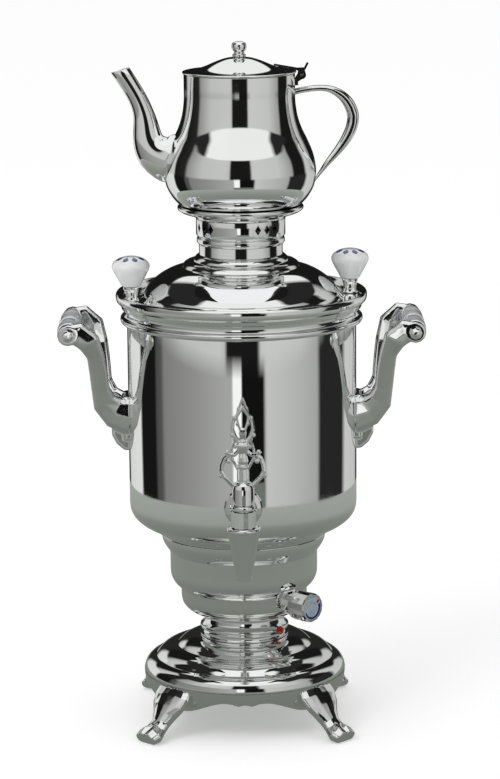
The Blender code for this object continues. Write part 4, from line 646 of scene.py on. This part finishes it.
def make_skirt():
    rows = [step / SKIRT_ROWS for step in range(SKIRT_ROWS + 1)]
    outer = [(SKIRT_RADIUS - SKIRT_FLARE * drop ** SKIRT_FLARE_POWER, SKIRT_TOP - SKIRT_DEPTH * drop)
             for drop in rows]
    inner = [(radius - SKIRT_WALL, level) for radius, level in outer[::-1]]
    runs = [tuple(outer), (outer[-1], inner[0]), tuple(inner), (inner[-1], outer[0])]
    skirt = turned("base_skirt_cast", runs, segments=192, closed=True, edge=0.0)
    top, depth, flare = SKIRT_TOP / 1000, SKIRT_DEPTH / 1000, SKIRT_FLARE / 1000
    for vertex in skirt.data.vertices:
        x, y = vertex.co.x, vertex.co.y - AXIS_Y
        azimuth = math.atan2(y, x)
        drop = (top - vertex.co.z) / depth
        level = vertex.co.z + skirt_lift(azimuth) * drop
        raised = max((top - level) / depth, 0.0)
        grow = flare * (drop ** SKIRT_FLARE_POWER - raised ** SKIRT_FLARE_POWER)
        radius = math.hypot(x, y) + grow
        vertex.co = (radius * math.cos(azimuth), radius * math.sin(azimuth) + AXIS_Y, level)
    shade(skirt, 40)
    stand_in_for(skirt, "base_skirt", "stand", cast_chrome)


def make_neck():
    runs = [((26.5, 80.3), (29.2, 80.3)),
            ((29.2, 80.3), (29.3, 78.2), (30.1, 75.6), (32.2, 73.1), (33.2, 72.6)),
            ((33.2, 72.6), (33.5, 71.6), (33.3, 70.4), (32.2, 69.6), (31.2, 69.1)),
            ((31.2, 69.1), (31.2, 66.2)),
            ((31.2, 66.2), (33.4, 65.6), (33.4, 64.8)),
            ((33.4, 64.8), (26.5, 64.8))]
    stand_in_for(turned("neck_turned", runs, closed=True, edge=0.0002), "neck", "stand", spun_chrome)


def make_housing():
    runs = [((61.9, 144.0), (61.2, 139.4), (59.0, 135.0), (55.65, 130.4)), ((55.65, 130.4), (55.55, 115.6)),
            ((55.55, 115.6), (54.9, 111.0), (52.4, 106.2), (47.6, 101.6)), ((47.6, 101.6), (47.5, 95.6)),
            ((47.5, 95.6), (46.6, 90.8), (43.9, 87.0), (39.4, 83.7), (31.0, 80.6)),
            ((31.0, 80.6), (4.4, 80.6))]
    housing = turned("lower_housing_spun", runs, wall=0.0011, edge=0.0003)
    bpy.ops.mesh.primitive_cube_add(size=1.0, location=INLET_CENTRE)
    window = bpy.context.object
    window.scale = INLET_SIZE
    opening = housing.modifiers.new("inlet_opening", "BOOLEAN")
    opening.operation = "DIFFERENCE"
    opening.solver = "EXACT"
    opening.object = window
    apply_all(housing)
    bpy.data.objects.remove(window)
    shade(housing)
    stand_in_for(housing, "lower_housing", "stand", spun_chrome)


def make_tank():
    runs = [((85.5, 316.3), (85.5, 171.0)),
            ((85.5, 171.0), (85.1, 164.6), (82.6, 158.8), (77.2, 153.8), (69.4, 149.4), (61.9, 144.3)),
            ((61.9, 144.3), (0.0, 144.3))]
    stand_in_for(turned("tank_drawn", runs, segments=144, wall=0.001), "tank", "stand", sheet_chrome)
    ring = [((85.8, 316.3), (88.3, 316.3)), ((88.3, 316.3), (87.6, 313.8), (87.9, 311.4), (89.0, 310.6)),
            ((89.0, 310.6), (90.2, 309.4), (90.2, 307.2), (88.9, 305.6), (86.3, 305.1)),
            ((86.3, 305.1), (85.8, 305.1))]
    stand_in_for(turned("rim_ring_turned", ring, segments=144, closed=True, edge=0.0002), "rim_ring", "stand",
                 spun_chrome)


def make_lid():
    collar = [((31.1, 363.6), (31.1, 356.2)), ((31.1, 356.2), (33.2, 355.1), (34.9, 353.0), (35.4, 351.3)),
              ((35.4, 351.3), (40.6, 350.9)), ((40.6, 350.9), (42.6, 349.4), (44.0, 346.9)),
              ((44.0, 346.9), (52.4, 344.7), (61.4, 339.9), (68.6, 333.6), (72.4, 328.6), (73.6, 326.2)),
              ((73.6, 326.2), (74.7, 324.8), (76.3, 323.4)), ((76.3, 323.4), (88.9, 323.4)),
              ((88.9, 323.4), (90.0, 325.6), (91.2, 328.0), (92.5, 328.3), (93.5, 326.9)),
              ((93.5, 326.9), (93.6, 324.6), (92.7, 321.6), (90.2, 319.6)), ((90.2, 319.6), (89.4, 316.6)),
              ((89.4, 316.6), (83.9, 316.6)), ((83.9, 316.6), (83.9, 308.6))]
    lid = turned("lid_spun", collar, segments=144, wall=0.0012, edge=0.0003)
    stand_in_for(lid, "lid", "lid", spun_chrome)
    stem = [((0.0, 334.1), (5.7, 334.1)),
            ((5.7, 334.1), (5.8, 332.8), (5.1, 329.8), (4.9, 327.0), (5.3, 324.8), (6.0, 323.8)),
            ((6.0, 323.8), (0.0, 323.8))]
    bell = ((0.0, 357.0), (4.2, 356.7), (8.6, 355.4), (12.2, 353.2), (13.9, 350.2), (13.5, 347.2),
            (11.2, 342.6), (8.4, 337.4), (7.0, 334.6))
    knob = [tuple(fair(bell, 4)), ((7.0, 334.6), (0.0, 334.6))]
    for side, x in (("left", -KNOB_REACH), ("right", KNOB_REACH)):
        place = ON_AXIS @ Matrix.Rotation(KNOB_TURN, 4, "Z") @ Matrix.Translation((x, 0.0, 0.0))
        stand_in_for(turned(f"knob_stem_{side}_turned", stem, segments=48, edge=0.0002, place=place),
                     f"knob_stem_{side}", "lid", spun_chrome)
        stand_in_for(turned(f"lid_knob_{side}_glazed", knob, segments=64, edge=0.0004, place=place),
                     f"lid_knob_{side}", "lid", MATERIAL_OF[f"lid_knob_{side}"])


def make_crown():
    runs = [((32.0, 383.1), (33.2, 383.1)), ((33.2, 383.1), (33.2, 371.2)),
            ((33.2, 371.2), (32.4, 369.8), (31.0, 369.2)),
            ((31.0, 369.2), (32.4, 368.6), (32.7, 367.2), (32.7, 365.4), (31.6, 363.9)),
            ((31.6, 363.9), (29.6, 363.9)), ((29.6, 363.9), (29.6, 357.9)), ((29.6, 357.9), (28.4, 357.9)),
            ((28.4, 357.9), (28.4, 369.3)), ((28.4, 369.3), (32.0, 372.9)), ((32.0, 372.9), (32.0, 383.1))]
    crown = turned("crown_pierced", runs, segments=120, closed=True, edge=0.0002)
    for group in range(4):
        for copy in range(3):
            azimuth = math.radians(DIAMOND_AZIMUTH + 90 * group + DIAMOND_STEP * (copy - 1))
            out = Vector((math.sin(azimuth), -math.cos(azimuth), 0.0))
            bpy.ops.mesh.primitive_cylinder_add(vertices=4, radius=0.5, depth=DIAMOND_CUT_DEPTH,
                                                end_fill_type="NGON")
            diamond = bpy.context.object
            diamond.scale = (*DIAMOND_SIZE, 1.0)
            diamond.rotation_euler = (math.pi / 2, 0.0, azimuth)
            diamond.location = Vector((0.0, AXIS_Y, DIAMOND_LEVEL)) + out * DIAMOND_REACH
            hole = crown.modifiers.new("diamond", "BOOLEAN")
            hole.operation = "DIFFERENCE"
            hole.solver = "EXACT"
            hole.object = diamond
            bpy.ops.object.select_all(action="DESELECT")
            apply_all(crown)
            bpy.data.objects.remove(diamond)
    shade(crown)
    stand_in_for(crown, "crown_collar", "crown", spun_chrome)
    gallery = [((29.0, 385.8), (36.5, 385.9), (39.6, 387.5), (43.0, 389.8), (44.6, 391.8)),
               ((44.6, 391.8), (45.4, 392.4), (46.4, 392.2), (46.8, 391.0), (46.2, 389.4), (43.6, 387.7)),
               ((43.6, 387.7), (39.6, 386.3), (36.0, 385.2), (33.4, 383.4)), ((33.4, 383.4), (29.0, 383.4))]
    stand_in_for(turned("gallery_turned", gallery, closed=True, edge=0.0002), "gallery", "crown", spun_chrome)


def make_teapot():
    side = ((41.0, 489.8), (41.0, 480.0), (41.1, 470.0), (42.6, 459.0), (45.6, 449.6), (49.8, 440.8),
            (53.9, 430.9), (56.0, 420.8), (55.9, 413.0), (53.9, 405.3), (49.0, 397.4), (42.2, 390.8),
            (36.6, 386.6), (34.3, 386.1))
    body = turned("teapot_body_spun", [tuple(fair(side, 5)), ((34.3, 386.1), (0.0, 386.1))], segments=144,
                  wall=0.001, edge=0.0003)
    stand_in_for(body, "teapot_body", "teapot", sheet_chrome)
    stand_in_for(rounded_copy("teapot_spout_bent", "teapot_spout", 2), "teapot_spout", "teapot", sheet_chrome)
    handle = rounded_copy("teapot_handle_cast", "teapot_handle", 2)
    stand_in_for(handle, "teapot_handle", "teapot", cast_chrome)
    lid = [((0.0, 501.6), (5.2, 501.6)),
           ((5.2, 501.6), (10.0, 501.0), (16.7, 498.8), (25.4, 495.1), (31.0, 493.2), (37.8, 491.9),
            (41.0, 491.7)),
           ((41.0, 491.7), (42.0, 491.3), (41.9, 490.5), (41.5, 490.1)),
           ((41.5, 490.1), (39.3, 490.1)), ((39.3, 490.1), (39.3, 486.4)), ((39.3, 486.4), (38.1, 486.4)),
           ((38.1, 486.4), (38.1, 490.3)),
           ((38.1, 490.3), (31.0, 491.9), (25.0, 493.8), (16.5, 497.4), (9.5, 499.7), (0.0, 500.3))]
    stand_in_for(turned("teapot_lid_spun", lid, edge=0.0002), "teapot_lid", "teapot_lid", spun_chrome)
    finial = [((0.0, 513.3), (2.6, 513.1), (4.9, 511.9), (5.45, 509.8), (5.1, 507.4), (3.8, 506.1)),
              ((3.8, 506.1), (3.8, 504.2)), ((3.8, 504.2), (4.8, 503.8), (4.8, 502.2)),
              ((4.8, 502.2), (4.8, 501.9)), ((4.8, 501.9), (0.0, 501.9))]
    top = turned("finial_turned", finial, segments=48, edge=0.0002)
    stand_in_for(top, "finial", "teapot_lid", spun_chrome)


def make_tap():
    cone = [((6.0, 176.1), (11.2, 176.1)), ((11.2, 176.1), (12.4, 175.4), (12.4, 173.8), (11.7, 172.8)),
            ((11.7, 172.8), (5.6, 137.9)), ((5.6, 137.9), (5.3, 137.1)), ((5.3, 137.1), (4.0, 137.1)),
            ((4.0, 137.1), (6.0, 174.8)), ((6.0, 174.8), (6.0, 176.1))]
    stand_in_for(turned("tap_spout_turned", cone, segments=64, closed=True, edge=0.0002, place=TAP_AXIS),
                 "tap_spout", "stand", spun_chrome)
    ring = [((6.3, 192.7), (7.6, 192.7)),
            ((7.6, 192.7), (8.6, 191.9), (8.8, 190.6), (8.6, 189.3), (7.6, 188.5)),
            ((7.6, 188.5), (6.3, 188.5))]
    stand_in_for(turned("tap_gland_turned", ring, segments=64, closed=True, edge=0.0, place=TAP_AXIS),
                 "tap_gland_ring", "stand", spun_chrome)
    hub = [((0.0, 210.4), (3.7, 210.0), (6.5, 208.2), (7.9, 205.2), (8.15, 203.4)),
           ((8.15, 203.4), (8.15, 193.7)),
           ((8.15, 193.7), (7.7, 193.0)), ((7.7, 193.0), (6.0, 193.0)), ((6.0, 193.0), (6.0, 176.4)),
           ((6.0, 176.4), (3.6, 176.4)), ((3.6, 176.4), (3.6, 188.7)), ((3.6, 188.7), (0.0, 188.7))]
    plug = turned("tap_plug_turned", hub, segments=64, edge=0.0003, place=TAP_AXIS)
    stand_in_for(plug, "tap_plug", "tap_key", spun_chrome)
    stand_in_for(cast_copy("tap_key_cast", "tap_key", KEY_VOXEL, 3), "tap_key", "tap_key", cast_chrome)


def make_handles():
    for side, x in (("left", -GRIP_REACH), ("right", GRIP_REACH)):
        stand_in_for(cast_copy(f"handle_casting_{side}_cast", f"handle_casting_{side}", HANDLE_VOXEL, 8),
                     f"handle_casting_{side}", "stand", cast_chrome)
        place = Matrix.Translation((x, AXIS_Y, GRIP_LEVEL)) @ Matrix.Rotation(math.pi / 2, 4, "X")
        half = [(6.4, 34.1), (7.6, 32.6), (8.2, 29.8), (8.6, 22.0), (8.2, 12.6), (7.9, 9.0)]
        runs = [((2.3, 34.1), (6.4, 34.1)), tuple(half),
                ((7.9, 9.0), (8.5, 6.4), (8.7, 0.0), (8.5, -6.4), (7.9, -9.0)),
                tuple((radius, -level) for radius, level in half[::-1]), ((6.4, -34.1), (2.3, -34.1))]
        stand_in_for(turned(f"grip_{side}_glazed", runs, segments=64, closed=True, edge=0.0003, place=place),
                     f"grip_{side}", "stand", MATERIAL_OF[f"grip_{side}"])


def make_feet():
    for name in ("foot_front_left", "foot_front_right", "foot_back_left", "foot_back_right"):
        stand_in_for(cast_copy(f"{name}_cast", name, FOOT_VOXEL, 5), name, "stand", cast_chrome)


make_base()
make_skirt()
make_neck()
make_housing()
make_tank()
make_lid()
make_crown()
make_teapot()
make_tap()
make_handles()
make_feet()


# Studio

def mirror_only(name, build_colour):
    """Cards of the light tent: polished surfaces mirror them, and nothing else sees them."""
    material = bpy.data.materials.new(name)
    material.use_nodes = True
    tree = material.node_tree
    tree.nodes.clear()
    output = add(tree, "ShaderNodeOutputMaterial")
    emission = add(tree, "ShaderNodeEmission")
    clear = add(tree, "ShaderNodeBsdfTransparent")
    choice = add(tree, "ShaderNodeMixShader")
    path = add(tree, "ShaderNodeLightPath")
    tree.links.new(build_colour(tree), emission.inputs["Color"])
    tree.links.new(path.outputs["Is Glossy Ray"], choice.inputs["Fac"])
    tree.links.new(clear.outputs[0], choice.inputs[1])
    tree.links.new(emission.outputs[0], choice.inputs[2])
    tree.links.new(choice.outputs[0], output.inputs["Surface"])
    return material


TENT_RADIUS = 0.80
TENT_HEIGHT = 1.6
# Cards round the tent, tier by tier: azimuth in degrees from the camera's side, and brightness
LOW_BANDS = (
    (-180, 0.02), (-156, 0.02), (-150, 0.70), (-119, 0.78), (-116, 0.008), (-94, 0.008),
    (-91, 0.07), (-85, 0.09), (-81, 0.22), (-45, 0.30), (-14, 0.40), (-10, 0.38), (-9, 1.0), (-1, 1.0),
    (0, 0.006), (20, 0.006), (23, 0.58), (50, 0.50), (77, 0.40), (81, 0.02), (114, 0.02),
    (121, 0.62), (150, 0.55), (156, 0.02), (180, 0.02),
)
MIDDLE_BANDS = (
    (-180, 0.01), (-140, 0.01), (-132, 0.50), (-118, 0.62), (-114, 0.01), (-92, 0.02), (-86, 0.30),
    (-60, 0.55), (-22, 0.60), (-17, 0.55), (-14, 0.01), (15, 0.01), (18, 0.60), (24, 0.62), (60, 0.58),
    (84, 0.35), (88, 0.01), (112, 0.01), (118, 0.60), (132, 0.50), (140, 0.01), (180, 0.01),
)
HIGH_BANDS = (
    (-180, 0.90), (-150, 0.90), (-142, 0.02), (-66, 0.02), (-58, 0.90), (58, 0.90), (66, 0.02), (142, 0.02),
    (150, 0.90), (180, 0.90),
)
# Heights between which one tier of cards turns into the next
MIDDLE_TIER = (0.34, 0.40)
HIGH_TIER = (0.86, 0.90)
# Table edge in front of the camera: middle and half width in radians, and its height
TABLE_EDGE_AZIMUTH = 0.09
TABLE_EDGE_HALF_WIDTH = 0.27
TABLE_EDGE_HEIGHT = 0.075
PANEL_HALF_WIDTH = 0.52
FLOOR_SIZE = 24.0
FLOOR_LIFT = 0.30
DIFFUSE_WORLD_CUT = -0.25
KEY_PLACE = (-1.6, -1.9, 2.4)
KEY_AIM = (0.0, 0.0, 0.25)
KEY_SIZE = 1.4
KEY_POWER = 22.0


def tent_colour(tree):
    """Cards round the wall in three tiers, a grey table below and a dark ceiling with a soft panel."""
    split = add(tree, "ShaderNodeSeparateXYZ")
    tree.links.new(object_position(tree), split.inputs[0])
    x, y, z = (split.outputs[axis] for axis in "XYZ")
    azimuth = math_node(tree, "ARCTAN2", x, math_node(tree, "MULTIPLY", y, -1.0))
    share = math_node(tree, "ADD", math_node(tree, "DIVIDE", azimuth, math.tau), 0.5)

    def bands(stops):
        return ramp(tree, share, [((degrees + 180) / 360, (value, value * 1.01, value * 0.985))
                                  for degrees, value in stops])

    def step(low, high):
        return math_node(tree, "DIVIDE", math_node(tree, "SUBTRACT", z, low), high - low, clamp=True)

    wall = mix_colour(tree, step(*MIDDLE_TIER), bands(LOW_BANDS), bands(MIDDLE_BANDS))
    wall = mix_colour(tree, step(*HIGH_TIER), wall, bands(HIGH_BANDS))
    aside = math_node(tree, "ABSOLUTE", math_node(tree, "SUBTRACT", azimuth, TABLE_EDGE_AZIMUTH))
    edge = math_node(tree, "MULTIPLY", math_node(tree, "LESS_THAN", aside, TABLE_EDGE_HALF_WIDTH),
                     math_node(tree, "LESS_THAN", z, TABLE_EDGE_HEIGHT))
    wall = mix_colour(tree, edge, wall, (0.16, 0.18, 0.155))
    across = math_node(tree, "LESS_THAN", math_node(tree, "ABSOLUTE", x), PANEL_HALF_WIDTH)
    ceiling = mix_colour(tree, across, (0.01, 0.01, 0.01), (0.95, 0.95, 0.96))
    radius = math_node(tree, "SQRT", math_node(tree, "ADD", math_node(tree, "MULTIPLY", x, x),
                                               math_node(tree, "MULTIPLY", y, y)))
    table = ramp(tree, radius, [(0.0, (0.17, 0.19, 0.165)), (0.4, (0.24, 0.26, 0.23)),
                                (0.8, (0.36, 0.38, 0.35))])
    colour = mix_colour(tree, math_node(tree, "GREATER_THAN", z, TENT_HEIGHT - 0.01), wall, ceiling)
    return mix_colour(tree, math_node(tree, "LESS_THAN", z, 0.01), colour, table)


def floor_material():
    """White sweep: it keeps the object's soft shadow and shows white elsewhere."""
    material = bpy.data.materials.new("white_sweep")
    material.use_nodes = True
    tree = material.node_tree
    tree.nodes.clear()
    output = add(tree, "ShaderNodeOutputMaterial")
    matt = add(tree, "ShaderNodeBsdfDiffuse")
    matt.inputs["Color"].default_value = (0.90, 0.90, 0.90, 1.0)
    lift = add(tree, "ShaderNodeEmission")
    both = add(tree, "ShaderNodeAddShader")
    path = add(tree, "ShaderNodeLightPath")
    through = math_node(tree, "MAXIMUM", path.outputs["Is Glossy Ray"], path.outputs["Is Transmission Ray"])
    seen = math_node(tree, "MAXIMUM", path.outputs["Is Camera Ray"], through)
    tree.links.new(math_node(tree, "MULTIPLY", seen, FLOOR_LIFT), lift.inputs["Strength"])
    tree.links.new(matt.outputs[0], both.inputs[0])
    tree.links.new(lift.outputs[0], both.inputs[1])
    tree.links.new(both.outputs[0], output.inputs["Surface"])
    return material


def make_studio():
    bpy.ops.mesh.primitive_cylinder_add(vertices=128, radius=TENT_RADIUS, depth=TENT_HEIGHT,
                                        end_fill_type="NGON", location=(0.0, 0.0, TENT_HEIGHT / 2 + 0.0002))
    tent = bpy.context.object
    tent.name = "light_tent"
    bpy.ops.object.transform_apply(location=True)
    tent.data.materials.append(mirror_only("tent_cards", tent_colour))
    bpy.ops.object.select_all(action="DESELECT")
    bpy.ops.mesh.primitive_plane_add(size=FLOOR_SIZE, location=(0.0, 0.0, 0.0))
    floor = bpy.context.object
    floor.name = "studio_floor"
    floor.data.materials.append(floor_material())
    bpy.ops.object.select_all(action="DESELECT")


def make_light():
    world = bpy.data.worlds.new("studio")
    bpy.context.scene.world = world
    world.use_nodes = True
    world.node_tree.nodes["Background"].inputs["Color"].default_value = (1.0, 1.0, 1.0, 1.0)
    tree = world.node_tree
    path = add(tree, "ShaderNodeLightPath")
    cut = math_node(tree, "MULTIPLY", path.outputs["Is Diffuse Ray"], DIFFUSE_WORLD_CUT)
    strength = math_node(tree, "ADD", cut, 1.0)
    tree.links.new(strength, tree.nodes["Background"].inputs["Strength"])
    key = bpy.data.lights.new("key_softbox", "AREA")
    key.shape = "RECTANGLE"
    key.size, key.size_y = KEY_SIZE, KEY_SIZE
    key.energy = KEY_POWER
    holder = bpy.data.objects.new("key_softbox", key)
    bpy.context.collection.objects.link(holder)
    holder.location = KEY_PLACE
    holder.rotation_euler = (Vector(KEY_AIM) - holder.location).to_track_quat("-Z", "Y").to_euler()


def make_camera():
    camera = bpy.data.cameras.new("camera")
    camera.lens = CAMERA_LENS
    camera.sensor_width = 36.0
    camera.clip_start, camera.clip_end = 0.05, 60.0
    item = bpy.data.objects.new("camera", camera)
    bpy.context.collection.objects.link(item)
    look = Matrix.Rotation(-CAMERA_PAN, 4, "Z") @ Matrix.Rotation(math.pi / 2 - CAMERA_PITCH, 4, "X")
    stand = Matrix.Translation((0.0, AXIS_Y - CAMERA_DISTANCE, CAMERA_HEIGHT))
    item.matrix_world = stand @ look @ Matrix.Rotation(CAMERA_ROLL, 4, "Z")
    bpy.context.scene.camera = item


make_studio()
make_light()
make_camera()
bpy.context.scene.view_settings.view_transform = "Standard"
